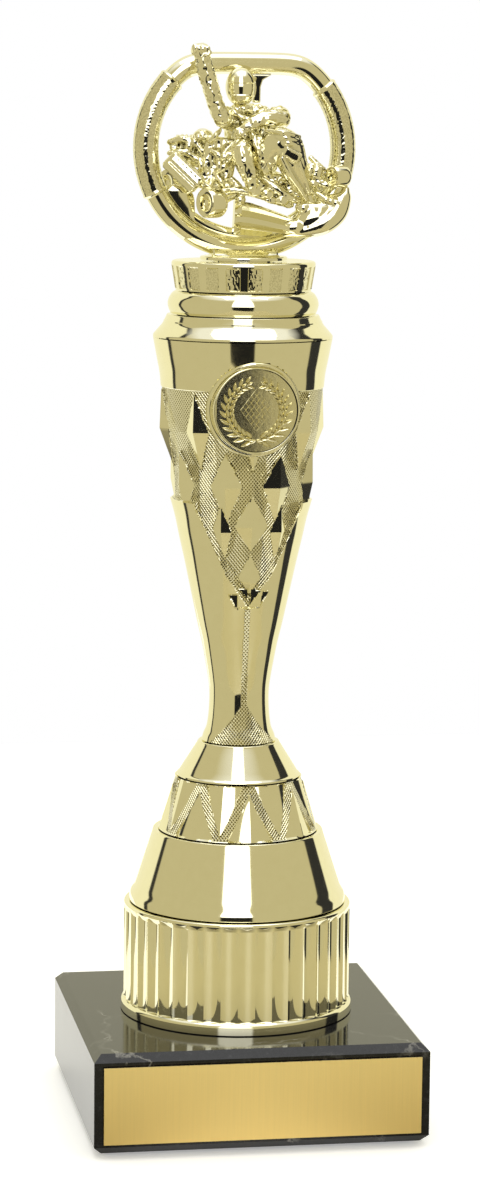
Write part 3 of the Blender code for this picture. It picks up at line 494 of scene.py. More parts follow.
outer = eased([(31.6, 33.5), (skirt - 0.35, 33.5), (skirt, 33.1), (skirt, FLUTE_HIGH),
               (skirt, FLUTE_HIGH - 0.4), (skirt, FLUTE_HIGH - 0.9), (skirt, FLUTE_HIGH - FLUTE_HEAD),
               (skirt, FLUTE_LOW + FLUTE_FOOT), (skirt, FLUTE_LOW), (foot_radius - 0.3, 2.9),
               (foot_radius, 2.4), (foot_radius, 0)], 0.2)
outer = split(outer, 2.0)
points, faces = lathe(cap_outline(outer), FLUTES * STEPS_PER_FLUTE, fluted, foot_low)
add_piece("fluted_skirt", points, faces, gold, "column", ["fluted_foot"])


# ---------------------------------------------------------------- shoulder cone
# Smooth flared moulding on the deck of the foot. Its lower edge stands back a little, so a dark
# shadow line runs between the two.
shoulder_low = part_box("shoulder_cone")[0].z
outer = eased([(24.2, 21.9), (25.7, 21.9), (25.9, 21.5), (31.5, 4.6), (32.8, 2.3), (33.0, 0.2),
               (32.8, 0)], 0.9, 5)
points, faces = lathe(cap_outline(split(outer, 3.0)), ROUND_STEPS, None, shoulder_low)
add_piece("shoulder_moulding", points, faces, gold, "column", ["shoulder_cone"])


# ---------------------------------------------------------------- faceted band
# Moulding with a zigzag of fine net relief, and smooth flat triangles like cut glass between its
# arms. The strips are sunk in the mesh; their ribs cross in diamonds 1 mm wide, in the material, which
# paints shade into the pits.
NET_SINK = 0.2                  # how far the net lies below the smooth facets, in millimetres
POINTS = 8                      # points of the zigzag


def rows_between(top, bottom, step):
    """Evenly spaced heights from top to bottom, at most a step apart."""
    return np.linspace(top, bottom, max(2, int(np.ceil((top - bottom) / step)) + 1))


def relief_shell(heights, columns, radius_of, lower_close, upper_close, base):
    """A thin moulding whose outer side is a grid of radii, closed by its inner outline points.
    Also returns each point's place on the net."""
    turns = np.arange(columns) * 2 * pi / columns
    round_grid, up_grid = np.meshgrid(turns, heights, indexing='ij')
    grid, share = radius_of(round_grid, up_grid)
    extra = lower_close + upper_close
    rows = len(heights) + len(extra)
    radii = np.concatenate([grid, np.repeat(np.array([r for r, z in extra])[None, :], columns, 0)], 1)
    levels = np.concatenate([heights, [z for r, z in extra]])
    points = np.stack([radii * np.sin(turns)[:, None], -radii * np.cos(turns)[:, None],
                       np.repeat(levels[None, :], columns, 0)], 2).reshape(-1, 3) * MM
    points[:, 2] += base
    faces = []
    for k in range(columns):
        a, b = k * rows, (k + 1) % columns * rows
        for j in range(rows):
            n = (j + 1) % rows
            if j < len(heights) - 1 and (k + j) % 2:     # split along the ribs of the net
                faces += [(a + j, a + n, b + j), (a + n, b + n, b + j)]
            elif j < len(heights) - 1:
                faces += [(a + j, a + n, b + n), (a + j, b + n, b + j)]
            else:
                faces.append((a + j, a + n, b + n, b + j))
    local = (turns + pi / 2) % pi - pi / 2           # from the front, or from the back
    netted = np.zeros((columns, rows, 3))
    netted[:, :len(heights), 0] = local[:, None] * grid
    netted[:, :, 1] = levels
    netted[:, :len(heights), 2] = share
    return points, faces, netted.reshape(-1, 3)


def plane_radius(corners, turns, heights):
    """Radius at which each ray from the axis, at its own height, meets the plane of three corners.
    A corner is (azimuth, radius, height)."""
    a, b, c = (np.array([r * np.sin(t), -r * np.cos(t), z]) for t, r, z in corners)
    normal = np.cross(b - a, c - a)
    across = normal[0] * np.sin(turns) - normal[1] * np.cos(turns)
    return (normal @ a - normal[2] * heights) / np.where(np.abs(across) < 1e-6, 1e-6, across)


def inside_triangle(corners, turns, heights):
    """Which grid points lie in a triangle, laid out by azimuth and height."""
    (t1, _, z1), (t2, _, z2), (t3, _, z3) = corners
    det = (z2 - z3) * (t1 - t3) + (t3 - t2) * (z1 - z3)
    u = ((z2 - z3) * (turns - t3) + (t3 - t2) * (heights - z3)) / det
    v = ((z3 - z1) * (turns - t3) + (t1 - t3) * (heights - z3)) / det
    return (u >= -1e-6) & (v >= -1e-6) & (u + v <= 1 + 1e-6)


band_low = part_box("faceted_band")[0].z
BAND_FOOT, BAND_HEAD, BAND_TALL = 24.2, 19.2, 16.2      # lower and upper radius, height
BAND_RIM, RIM_PROUD = 0.35, 0.05        # plain rim at both edges
ARM = 2.8                       # width of a net arm
ARM_SPREAD, ARM_HEAD = 0.86, 0.03       # how far an arm's middle runs, in shares of a point's width
STAND_PROUD, HANG_PROUD = 0.15, 0.1     # edges of the standing and hanging triangles off the cone


def band_radius(turns, heights):
    """Cone with net arms that run from heads at 0, 45... degrees to feet at 22.5, 67.5... degrees."""
    step = 2 * pi / POINTS
    level = heights / BAND_TALL
    cone = BAND_FOOT + (BAND_HEAD - BAND_FOOT) * level
    off_head = np.abs((turns / step + 0.5) % 1 - 0.5)     # 0 at a head, 0.5 at a foot
    arm_middle = 0.5 * (1 - level) * ARM_SPREAD + ARM_HEAD
    distance = (off_head - arm_middle) * step * cone
    standing = distance < -ARM / 2                        # triangle that stands on its base
    hanging = distance > ARM / 2                          # triangle that hangs from its top edge
    fold = np.clip(off_head / np.maximum(arm_middle, 0.02), 0, 1)
    stand_sink = (0.5 + 0.9 * (1 - level)) * fold
    away = np.clip((0.5 - off_head) / np.maximum(0.5 - arm_middle, 0.02), 0, 1)
    hang_sink = (0.4 + level) * away * 0.95
    radius = cone - STAND_PROUD - NET_SINK
    radius = np.where(standing, cone + STAND_PROUD - stand_sink, radius)
    radius = np.where(hanging, cone + HANG_PROUD - hang_sink, radius)
    rim = (heights > BAND_TALL - BAND_RIM) | (heights < BAND_RIM)
    return np.where(rim, cone + RIM_PROUD, radius), ~(standing | hanging | rim)


BAND_WALL, BAND_STEPS, BAND_ROW = 2.4, 640, 0.42
heights = rows_between(BAND_TALL, 0, BAND_ROW)
deck = BAND_TALL - MOULD_WALL
closing = [(BAND_FOOT - BAND_WALL, 0), (BAND_HEAD - BAND_WALL, deck), (ROD_HOLE, deck)]
points, faces, netted = relief_shell(heights, BAND_STEPS, band_radius, closing,
                                     [(ROD_HOLE, BAND_TALL)], band_low)
add_piece("faceted_moulding", points, faces, gold, "column", ["faceted_band"], 20,
          netted)


# ---------------------------------------------------------------- neck cone
# Short smooth moulding between the faceted band and the stem, with sharp upper and lower edges.
neck_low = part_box("neck_cone")[0].z
outer = eased([(11.4, 10.4), (12.2, 10.4), (12.4, 10.0), (18.1, 0.9), (18.7, 0.4), (18.7, 0)], 0.3)
points, faces = lathe(cap_outline(split(outer, 2.0)), ROUND_STEPS, None, neck_low)
add_piece("neck_moulding", points, faces, gold, "column", ["neck_cone"])


# ---------------------------------------------------------------- stem and vase
# One hollow moulding. A smooth blade sweeps up from the stem on each side; between them, front and
# back, a deep V holds rows of four-sided pyramids in a lattice of the same net relief, like cut
# crystal. The hem of the stem is netted too.
vase_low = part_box("vase_body")[0].z
vase_tall = (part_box("vase_body")[1].z - vase_low) / MM
BLADE = ((0, 11.2), (1.9, 10.7), (3.7, 9.9), (6.3, 9.4), (9.5, 9.1), (16.3, 9.1), (19.3, 9.5),
         (24, 10.3), (29.3, 11.3), (35.3, 12.7), (41.3, 14.0), (48.8, 15.6), (55.3, 17.0),
         (62.3, 18.6), (67.9, 19.8), (73.8, 21.4))
LATTICE = ((41.3, 14.0), (43.3, 14.5), (50.3, 16.3), (59.3, 18.0), (66.9, 19.1), (73, 19.9),
           (78.9, 20.2), (83.3, 20.4), (94.8, 23.0), (107.3, 24.3))
FLARE = ((107.3, 24.4), (111.3, 24.8), (114.9, 25.5), (121.7, 26.8))
LEDGE = 73.8                    # top of the blades
CREASE = 107.3                  # where the flare starts
V_LINE = ((0, 42.3), (24, 51.6), (34, 58.6), (51, 72.4))    # degrees from the front, height
V_BAND = 2.4                    # width of its net band
V_SCALE = 18                    # radius at which the slope of the V is taken
HEM_TOP, HEM_REACH, HEM_CURVE = 13.5, 60, 1.25      # height, degrees from the front, bend of its edge
LINE_WIDTH, LINE_TOP = 1.8, 41.5        # net line up the front of the stem
PANEL_HEIGHTS, PANEL_HALF, PANEL_SINK = (15, 42.3), (4, 19), 0.7     # sunk panel round that line
NOTCH = (51.5, 3.6, 68.4, 1.2, 1.6)     # cut in the V: degrees, half width, height, half height, depth
MEDAL_SEAT, SEAT_SINK = 13.6, 0.9       # round place cut back behind the medal's holder
# flat facets cut round the foot of the V, each turned a little to the left: corners as degrees from
# the front and heights, and how far the middle stands out
APEX_FACING = radians(-8)
APEX_FACETS = ((((1.5, 43.0), (14.5, 47.6), (2.5, 48.2)), 15.3),
               (((-1.5, 45.0), (-12.0, 48.0), (-1.5, 48.2)), 15.5),
               (((-12.0, 41.4), (-24.0, 46.2), (-13.0, 46.4)), 14.3),
               (((15.5, 42.8), (26.0, 47.4), (17.0, 47.0)), 14.5))
# rows of pyramids: first azimuth, step, height of top, crease and bottom, half width in degrees,
# radii of top, crest, corner and bottom
PYRAMIDS = (
    (0, 45, 106.4, 94.8, 83.4, 10.5, 24.5, 24.9, 22.8, 20.6),
    (22.5, 45, 88.8, 78.9, 67.3, 14.0, 21.8, 21.9, 20.0, 19.4),
    (0, 180, 76.3, 66.9, 59.3, 15.5, 20.0, 20.3, 19.0, 18.0),
    (-27, 180, 73.5, 65.3, 54.6, 9.5, 19.9, 20.0, 19.0, 17.2),
    (27, 180, 73.5, 65.3, 54.6, 9.5, 20.1, 20.2, 18.6, 17.3),
    (0, 180, 58.6, 50.3, 43.2, 14.5, 17.8, 17.6, 16.1, 14.7))


def smooth_line(points, at):
    """Smooth curve through (place, value) points, from the slopes between their neighbours."""
    x, y = np.array(points, float).T
    slope = np.gradient(y, x)
    k = np.clip(np.searchsorted(x, at) - 1, 0, len(x) - 2)
    width = x[k + 1] - x[k]
    t = np.clip((at - x[k]) / width, 0, 1)
    return ((2 * t ** 3 - 3 * t ** 2 + 1) * y[k] + (t ** 3 - 2 * t ** 2 + t) * width * slope[k]
            + (3 * t ** 2 - 2 * t ** 3) * y[k + 1] + (t ** 3 - t ** 2) * width * slope[k + 1])


def vase_radius(turns, heights):
    """Radius of the moulding's outer side, zone by zone."""
    wrapped = (turns + pi) % (2 * pi) - pi
    side = np.minimum(np.abs(wrapped), pi - np.abs(wrapped))      # front and back are alike
    degrees_off = np.degrees(side)
    blade = smooth_line(BLADE, heights)
    lattice = smooth_line(LATTICE, heights)
    flare = smooth_line(FLARE, heights)
    v_x, v_z = np.array(V_LINE, float).T
    v_level = np.interp(degrees_off, v_x, v_z)
    v_level = np.where(degrees_off > V_LINE[-1][0], LEDGE, v_level)
    rise = np.interp(degrees_off, v_x, np.gradient(v_z, np.radians(v_x) * V_SCALE))
    above = (heights - v_level) / np.sqrt(1 + rise ** 2)          # distance inside the V
    radius = lattice - NET_SINK
    netted = np.ones(turns.shape, bool)
    for first, step, top, middle, bottom, half, r_top, r_crest, r_corner, r_bottom in PYRAMIDS:
        for start in np.arange(first, first + 360, step):
            local = (turns - radians(start) + pi) % (2 * pi) - pi
            crest = (0, r_crest, middle)
            for hand in (-1, 1):
                corner = (hand * radians(half), r_corner, middle)
                for end in ((0, r_top, top), (0, r_bottom, bottom)):
                    facet = (end, corner, crest) if hand > 0 else (end, crest, corner)
                    if end[2] < middle:
                        facet = (facet[0], facet[2], facet[1])
                    here = inside_triangle(facet, local, heights) & (np.abs(local) < 0.5)
                    radius = np.where(here, plane_radius(facet, local, heights), radius)
                    netted &= ~here
    band = (above > 0) & (above < V_BAND) & (degrees_off <= V_LINE[-1][0])
    radius = np.where(band, np.minimum(lattice, blade) - NET_SINK, radius)
    netted |= band
    notch_off, notch_half, notch_rise, notch_tall, notch_sink = NOTCH
    notch = (np.abs(degrees_off - notch_off) < notch_half) & (np.abs(heights - notch_rise) < notch_tall)
    radius = np.where(notch, lattice - notch_sink, radius)
    netted &= ~notch
    # smooth blades outside the V, and the panel up the front of the stem between two fine creases
    inset = np.clip(1 - degrees_off / np.interp(heights, PANEL_HEIGHTS, PANEL_HALF), 0, 1)
    inset *= np.clip((heights - PANEL_HEIGHTS[0]) / 12, 0, 1) * (heights < PANEL_HEIGHTS[1])
    stem = blade - PANEL_SINK * inset
    line = (side * blade < LINE_WIDTH / 2) & (heights < LINE_TOP)
    stem = np.where(line, blade - NET_SINK * 0.5, stem)
    hem = HEM_REACH * np.clip(1 - heights / HEM_TOP, 0, 1) ** HEM_CURVE
    stem = np.where(degrees_off < hem, blade - NET_SINK * 0.3, stem)
    radius = np.where(heights <= v_level, stem, radius)
    netted = np.where(heights <= v_level, line | (degrees_off < hem), netted)
    front = np.where(np.abs(wrapped) > pi / 2, wrapped - np.sign(wrapped) * pi, wrapped)
    for corners, reach in APEX_FACETS:
        corners = [(radians(t), 0, z) for t, z in corners]
        here = inside_triangle(corners, front, heights)
        middle_t, middle_z = np.mean([[t, z] for t, _, z in corners], 0)
        flat = (reach * cos(middle_t - APEX_FACING) + (heights - middle_z) * 0.02) / np.cos(
            front - APEX_FACING)
        radius = np.where(here, flat, radius)
        netted &= ~here
    radius = np.where(heights >= CREASE - 0.3, flare, radius)
    netted &= heights < CREASE - 0.3
    from_medal = (radius * np.sin(wrapped)) ** 2 + (heights - medal_rise) ** 2
    covered = (from_medal < MEDAL_SEAT ** 2) & (np.abs(wrapped) < pi / 2)
    return np.where(covered, np.minimum(radius, lattice - SEAT_SINK), radius), netted


medal_low, medal_high = (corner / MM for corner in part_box("medal_insert"))
medal_middle = (medal_low.z + medal_high.z) / 2
medal_rise = medal_middle - vase_low / MM
FLARE_ROW, VASE_ROW, VASE_STEPS = 1.0, 0.5, 416
heights = np.concatenate([rows_between(vase_tall, CREASE, FLARE_ROW)[:-1],
                          rows_between(CREASE, 0, VASE_ROW)])
# inner side of the wall from the rod's hole up
closing = [(9.4, 0), (ROD_HOLE, 0), (ROD_HOLE, 3.6), (7.3, 3.6), (7.3, 16.5), (12.2, 41.3),
           (19.0, 73), (18.4, 79), (22.4, 104)]
points, faces, netted = relief_shell(heights, VASE_STEPS, vase_radius, closing, [(25.0, vase_tall)],
                                     vase_low)
add_piece("vase_moulding", points, faces, gold, "column", ["vase_body"], 16, netted)


# ---------------------------------------------------------------- medal
# A moulded holder with a rounded flange that follows the vase, and in its recess a stamped disc of
# gold anodised aluminium: a laurel wreath, tied at the bottom, round a chequered lozenge.
def vase_front(x, z):
    """Front of the vase's plain envelope at a place across and up, as a Y in millimetres."""
    rise = z - vase_low / MM
    envelope = float(np.where(rise < CREASE, smooth_line(LATTICE, rise), smooth_line(FLARE, rise)))
    return -sqrt(max(envelope ** 2 - x ** 2, 1))


HOLDER_STEPS = 96
RECESS_CLEARANCE, LIP, FLANGE_REACH, LIP_PROUD = 0.3, 0.5, 1.3, 0.2
boss = medal_high.x + RECESS_CLEARANCE + LIP
flange = boss + FLANGE_REACH
face = medal_low.y - LIP_PROUD
# section of the holder from the outside in: radius, then Y or None with an offset from the vase
rings = [(flange, None, 0.8), (flange, None, -0.35), (flange - 0.3, None, -0.75),
         (flange - 0.75, None, -0.85), (flange - 1.2, None, -0.6), (boss, None, -0.1),
         (boss, face + 0.35, 0), (boss - 0.12, face + 0.08, 0), (boss - 0.35, face, 0),
         (medal_high.x + 0.2, face + 0.05, 0), (medal_high.x + 0.1, face + 0.9, 0),
         (medal_high.x + 0.1, face + 3.0, 0)]
vertices, faces = [], []
for r, y, offset in rings:
    for step in range(HOLDER_STEPS):
        t = 2 * pi * step / HOLDER_STEPS
        x, z = r * cos(t), medal_middle + r * sin(t)
        vertices.append(Vector((x, vase_front(x, z) + offset if y is None else y, z)) * MM)
for ring in range(len(rings)):
    for step in range(HOLDER_STEPS):
        a, b = ring * HOLDER_STEPS, (ring + 1) % len(rings) * HOLDER_STEPS
        n = (step + 1) % HOLDER_STEPS
        faces.append((a + step, a + n, b + n, b + step))
add_piece("medal_holder_ring", vertices, faces, gold, "column", ["medal_holder"], 50)

WEAR = 1.2 * MM                 # fine frosting that the die leaves
stamped, tree, shader = shader_of("stamped_gold_anodised_aluminium")
place = add_node(tree, "ShaderNodeTexCoord").outputs["Object"]
wear = add_node(tree, "ShaderNodeTexNoise", {"Vector": place, "Scale": 1 / WEAR, "Detail": 4.0})
tone = add_node(tree, "ShaderNodeMix", {0: wear.outputs["Fac"], 6: linear("#DAD3AC"),
                                        7: linear("#E6E0BC")}, data_type='RGBA')
tree.links.new(tone.outputs[2], shader.inputs["Base Color"])
rough = add_node(tree, "ShaderNodeMapRange", {0: wear.outputs["Fac"], 3: 0.1, 4: 0.2})
tree.links.new(rough.outputs[0], shader.inputs["Roughness"])
grit = add_node(tree, "ShaderNodeBump", {"Height": wear.outputs["Fac"], "Strength": 0.3,
                                         "Distance": 0.06 * MM})
tree.links.new(grit.outputs[0], shader.inputs["Normal"])
shader.inputs["Metallic"].default_value = 1.0


DISC_SINK, DISC_TURN, DISC_DOME = 0.25, -0.03, 0.0022


def disc_front(x):
    """Y of the disc's face: it is slightly domed, and glued a little turned to the left."""
    return medal_low.y + DISC_SINK + DISC_TURN * x + DISC_DOME * x ** 2


RINGS, DISC_STEPS = 16, 96
vertices = [Vector((0, disc_front(0), medal_middle)) * MM]
for ring in range(RINGS + 1):
    r = medal_high.x * min(1, (ring + 1) / RINGS)
    for step in range(DISC_STEPS):
        x, z = r * cos(2 * pi * step / DISC_STEPS), r * sin(2 * pi * step / DISC_STEPS)
        y = disc_front(x) if ring < RINGS else medal_high.y
        vertices.append(Vector((x, y, medal_middle + z)) * MM)
faces = [(0, 1 + step, 1 + (step + 1) % DISC_STEPS) for step in range(DISC_STEPS)]
for ring in range(RINGS):
    for step in range(DISC_STEPS):
        a, b, n = 1 + ring * DISC_STEPS, 1 + (ring + 1) * DISC_STEPS, (step + 1) % DISC_STEPS
        faces.append((a + step, b + step, b + n, a + n))
faces.append(tuple(1 + RINGS * DISC_STEPS + step for step in range(DISC_STEPS)))
add_piece("medal_disc", vertices, faces, stamped, "column", ["medal_insert"], 30)

LEAF_STATIONS = 7


def add_leaf(vertices, faces, root, heading, length, width):
    """Add one stamped leaf: a pointed almond with a raised midrib and lower edges."""
    along = Vector((cos(heading), 0, sin(heading)))
    across = Vector((-sin(heading), 0, cos(heading)))
    start = len(vertices)
    for k in range(LEAF_STATIONS):
        t = k / (LEAF_STATIONS - 1)
        half = width / 2 * sin(pi * t ** 0.8) ** 0.8 + 0.02
        middle = root + along * length * t
        crown = 0.4 + 0.35 * sin(pi * t)
        for offset, lift in ((-half, -0.15), (-half * 0.5, crown * 0.85), (0, crown * 0.6),
                             (half * 0.5, crown * 0.85), (half, -0.15)):
            spot = middle + across * offset
            vertices.append((spot + Vector((0, disc_front(spot.x) - lift, 0))) * MM)
    for k in range(LEAF_STATIONS - 1):
        a, b = start + k * 5, start + (k + 1) * 5
        faces.extend((a + j, a + j + 1, b + j + 1, b + j) for j in range(4))
        faces.append((a + 4, a, b, b + 4))
    tip = start + (LEAF_STATIONS - 1) * 5
    faces.extend([tuple(start + 4 - j for j in range(5)), tuple(tip + j for j in range(5))])


LEAVES, WREATH = 12, 8.6        # leaves along a branch, radius of the branch
vertices, faces = [], []
for hand in (-1, 1):
    for leaf in range(LEAVES):
        t = leaf / (LEAVES - 1)
        bearing = radians(-82 + 150 * t)
        reach = WREATH * (1 - 0.06 * t)
        root = Vector((hand * reach * cos(bearing), 0, medal_middle + reach * sin(bearing)))
        for lean, shift, length in ((0.6, 0.45, 3.7), (-0.6, -0.45, 3.4), (0.02, 0, 3.0)):
            heading = bearing + pi / 2 - lean
            if hand < 0:
                heading = pi - heading
            nudge = Vector((hand * cos(bearing), 0, sin(bearing))) * shift
            add_leaf(vertices, faces, root + nudge, heading, length * (1 - 0.3 * t),
                     1.35 * (1 - 0.2 * t))
for heading in (-0.5, pi + 0.5, -0.1, pi + 0.1):               # the tie and the cut stems
    add_leaf(vertices, faces, Vector((0, 0, medal_middle - WREATH)), heading, 2.6, 1.0)
add_piece("laurel_wreath", vertices, faces, stamped, "column", (), 40)

CHECKS, CHECK = 6, 1.05         # squares along a side of the lozenge and their size
LOZENGE_NARROW, LOZENGE_RISE = 0.76, 0.2        # width against height, and shift above the middle
CHECK_LIFTS, CHECK_CHAMFER = (0.16, 0.38), (0.07, 0.06)      # low and high squares; in and down
vertices, faces = [], []
for i in range(CHECKS):
    for j in range(CHECKS):
        lift = CHECK_LIFTS[(i + j) % 2]
        x, z = (i + 0.5 - CHECKS / 2) * CHECK, (j + 0.5 - CHECKS / 2) * CHECK
        start = len(vertices)
        for half, out in ((CHECK / 2, -0.1), (CHECK / 2, lift - CHECK_CHAMFER[1]),
                          (CHECK / 2 - CHECK_CHAMFER[0], lift)):
            for sx, sz in ((-1, -1), (1, -1), (1, 1), (-1, 1)):
                px, pz = x + sx * half, z + sz * half
                aside = (px - pz) * LOZENGE_NARROW
                vertices.append(Vector((aside, disc_front(aside) - out,
                                        medal_middle + LOZENGE_RISE + (px + pz))) * MM)
        for ring in (0, 4):
            faces += [(start + ring + k, start + ring + (k + 1) % 4, start + ring + 4 + (k + 1) % 4,
                       start + ring + 4 + k) for k in range(4)]
        faces += [tuple(start + 8 + k for k in range(4)), tuple(start + 3 - k for k in range(4))]
add_piece("chequered_lozenge", vertices, faces, stamped, "column", (), 20)


# ---------------------------------------------------------------- lid, collar and knurled ring
# Three round mouldings close the vase and seat the figure. The last has panels of moulded stipple
# let into its side, with smooth ribs between them, for grip when the figure is screwed on.
lid_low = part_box("vase_lid")[0].z
outer = eased([(21.6, 6.6), (22.7, 6.6), (22.8, 6.3), (24.0, 3.8), (26.8, 0.6), (26.8, 0)], 0.5)
points, faces = lathe(cap_outline(split(outer, 1.5)), ROUND_STEPS, None, lid_low)
add_piece("lid_moulding", points, faces, gold, "column", ["vase_lid"])

collar_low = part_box("rim_collar")[0].z
outer = eased([(20.2, 6.7), (21.2, 6.1), (22.2, 4.6), (22.6, 2.9), (22.2, 1.2), (21.6, 0)], 1.6, 6)
points, faces = lathe(cap_outline(split(outer, 0.8)), ROUND_STEPS, None, collar_low)
add_piece("collar_moulding", points, faces, gold, "column", ["rim_collar"])

knurl_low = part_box("knurled_ring")[0].z
PANELS, PANEL_SHARE, PANEL_LOW, PANEL_HIGH, PANEL_INSET = 20, 0.66, 0.7, 7.3, 0.25
PIT_COLUMNS, PIT_ROW, PIT_DEPTH = 330, 0.38, 0.12
KNURL_STEPS = 2 * PIT_COLUMNS
SPIGOT_HOLE = 9.3


def hashed(a, b):
    """A repeatable scatter between 0 and 1 for pairs of whole numbers: the far digits of a sine."""
    value = np.sin(a * 12.9898 + b * 78.233) * 43758.5453
    return value - np.floor(value)


def stippled_panels(turns, radii, heights):
    """Panels sunk into the side, filled with small upright pits."""
    share = np.abs((turns * PANELS / (2 * pi) + 0.5) % 1 - 0.5) * 2
    panel = (share < PANEL_SHARE) & (heights > PANEL_LOW) & (heights < PANEL_HIGH) & (radii > 18.5)
    pits = PIT_DEPTH * hashed(np.floor(turns * PIT_COLUMNS / (2 * pi)), np.floor(heights / PIT_ROW))
    return np.where(panel, radii - PANEL_INSET - pits, radii)


outer = eased([(9.4, 8.7), (20.9, 8.7), (21.4, 8.3), (21.5, 7.6), (20.9, 4.0), (20.4, 0.8),
               (20.2, 0)], 0.3)
section = cap_outline(split(outer, PIT_ROW), MOULD_WALL, SPIGOT_HOLE)
points, faces = lathe(section, KNURL_STEPS, stippled_panels, knurl_low)
sunk = np.tile([r for r, z in section], KNURL_STEPS) - np.hypot(points[:, 0], points[:, 1]) / MM
netted = np.zeros((len(points), 3))
# the gold material paints shade into these stipple pits
netted[:, 2] = np.where(sunk > 0.1, IS_STIPPLE, 0)
add_piece("knurled_seat", points, faces, gold, "column", ["knurled_ring"], 30, netted)


# ---------------------------------------------------------------- figure foot and insert
# The figure is one gold-metallised moulding on a round foot: a low disc, a stub under the wheel and
# a spigot that sits in the knurled ring, with a turned brass insert for the tie rod.
FOOT_GAP = 0.3 * MM             # between the disc and the knurled ring
disc_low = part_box("knurled_ring")[1].z + FOOT_GAP
spigot = (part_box("figure_foot")[0].z - disc_low) / MM
outer = eased([(0.5, 1.0), (12.7, 1.0), (13, 0.7), (13, 0)], 0.25)
section = outer + [(9, 0), (9, spigot), (4.8, spigot), (4.8, -0.4), (0.5, -0.4)]
points, faces = lathe(section, 96, None, disc_low)
vertices = [Vector(p) for p in points]
start = len(vertices)
STUB = ((10.2, 4.9, 1.0), (9.7, 4.2, 1.5), (9.9, 2.4, 4.2))      # half width, half depth, height
STUB_CUT = 0.5                  # chamfer of its corners
for half_width, half_depth, level in STUB:
    for sx, sy in ((-1, -1), (1, -1), (1, 1), (-1, 1)):
        cuts = [(STUB_CUT, 0), (0, STUB_CUT)]
        for cut_x, cut_y in cuts if sx * sy < 0 else cuts[::-1]:
            vertices.append(Vector((sx * (half_width - cut_x), sy * (half_depth - cut_y), level)) * MM
                            + Vector((0, 0, disc_low)))
for ring in range(len(STUB) - 1):
    a = start + ring * 8
    faces += [(a + k, a + (k + 1) % 8, a + 8 + (k + 1) % 8, a + 8 + k) for k in range(8)]
faces += [tuple(start + k for k in range(8)), tuple(start + 16 + k for k in range(8))]
add_piece("figure_foot_moulding", vertices, faces, gold, "figure", ["figure_foot"])

TOOL_MARK = 2.4 * MM            # turning lines, drawn far coarser than real ones
brass, tree, shader = shader_of("turned_brass")
place = add_node(tree, "ShaderNodeTexCoord").outputs["Object"]
lines = add_node(tree, "ShaderNodeTexWave", {"Vector": place, "Scale": 1 / TOOL_MARK},
                 bands_direction='Z')
tone = add_node(tree, "ShaderNodeMix", {0: lines.outputs["Fac"], 6: linear("#C9A24E"),
                                        7: linear("#DDBB6C")}, data_type='RGBA')
tree.links.new(tone.outputs[2], shader.inputs["Base Color"])
shader.inputs["Metallic"].default_value = 1.0
shader.inputs["Roughness"].default_value = 0.25
finish_node("threaded_insert", brass, 0.3 * MM, 2)


# ---------------------------------------------------------------- steering-wheel ring
# A kart's steering wheel stands upright round the driver: a smooth top bar and lower arc, and two
# thicker grips with the stippled grain of a moulded cover between raised collars.
SPIGOT_TALL, HUB_RISE = 7, 33.1         # from the spigot's end to the disc, and on to the ring's centre
ring_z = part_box("figure_foot")[0].z / MM + SPIGOT_TALL + HUB_RISE
hub = Vector((0, 0, ring_z))
RIM, RIM_TUBE, GRIP_TUBE, FLAT_TOP = 29.6, 3.2, 3.8, 24.9
LEFT_GRIP, RIGHT_GRIP = (137.5, 206.9), (-15.8, 37.9)       # degrees round the ring from +X
CORNER = 24                     # the higher, the tighter the corners beside the flat top


def ring_reach(bearing):
    """Distance of the tube's middle from the ring centre; the flat top blends into the circle."""
    rise = sin(bearing)
    if rise < 0.5:
        return RIM
    return (RIM ** -CORNER + (FLAT_TOP / rise) ** -CORNER) ** (-1 / CORNER)


def sweep(places, radius_of, sides):
    """Closed tube along a list of places. radius_of(station, side) gives the radius there."""
    count = len(places)
    points, faces = [], []
    side_axis = Vector((0, -1, 0))
    for k, place in enumerate(places):
        ahead = (places[min(k + 1, count - 1)] - places[max(k - 1, 0)]).normalized()
        out = side_axis.cross(ahead).normalized()
        front = ahead.cross(out).normalized()
        for s in range(sides):
            t = 2 * pi * s / sides
            points.append((place + (out * cos(t) + front * sin(t)) * radius_of(k, s)) * MM)
    for k in range(count - 1):
        a, b = k * sides, (k + 1) * sides
        faces += [(a + s, a + (s + 1) % sides, b + (s + 1) % sides, b + s) for s in range(sides)]
    return points, faces + [tuple(range(sides - 1, -1, -1)),
                            tuple((count - 1) * sides + s for s in range(sides))]


def ring_places(first, last, step):
    """Places round the ring between two bearings in degrees, about a step in millimetres apart."""
    count = max(3, round(abs(radians(last - first)) * RIM / step))
    made = []
    for k in range(count + 1):
        bearing = radians(first + (last - first) * k / count)
        reach = ring_reach(bearing)
        made.append(Vector((reach * cos(bearing), 0, ring_z + reach * sin(bearing))))
    return made


JOINT = 0.7                     # degrees between two pieces of the ring
RING_ROW, RING_SIDES = 1.0, 40
LIP_SHARE, LIP_BACK, LIP_HALF, LIP_SIDES = 0.855, -0.4, 1.7, 24     # lip inside the lower arc


def lip_radius(k, s):
    """An upright oval that thins towards both ends of the lip."""
    width = LIP_HALF * sin(pi * (0.06 + 0.88 * k / last_place)) ** 0.5
    t = 2 * pi * s / LIP_SIDES
    return width / sqrt(cos(t) ** 2 + 3 * sin(t) ** 2)


places = ring_places(RIGHT_GRIP[1] + JOINT, LEFT_GRIP[0] - JOINT, RING_ROW)
points, faces = sweep(places, lambda k, s: RIM_TUBE, RING_SIDES)
add_piece("ring_top_bar", points, faces, gold, "figure", ["wheel_top_bar"], 50)

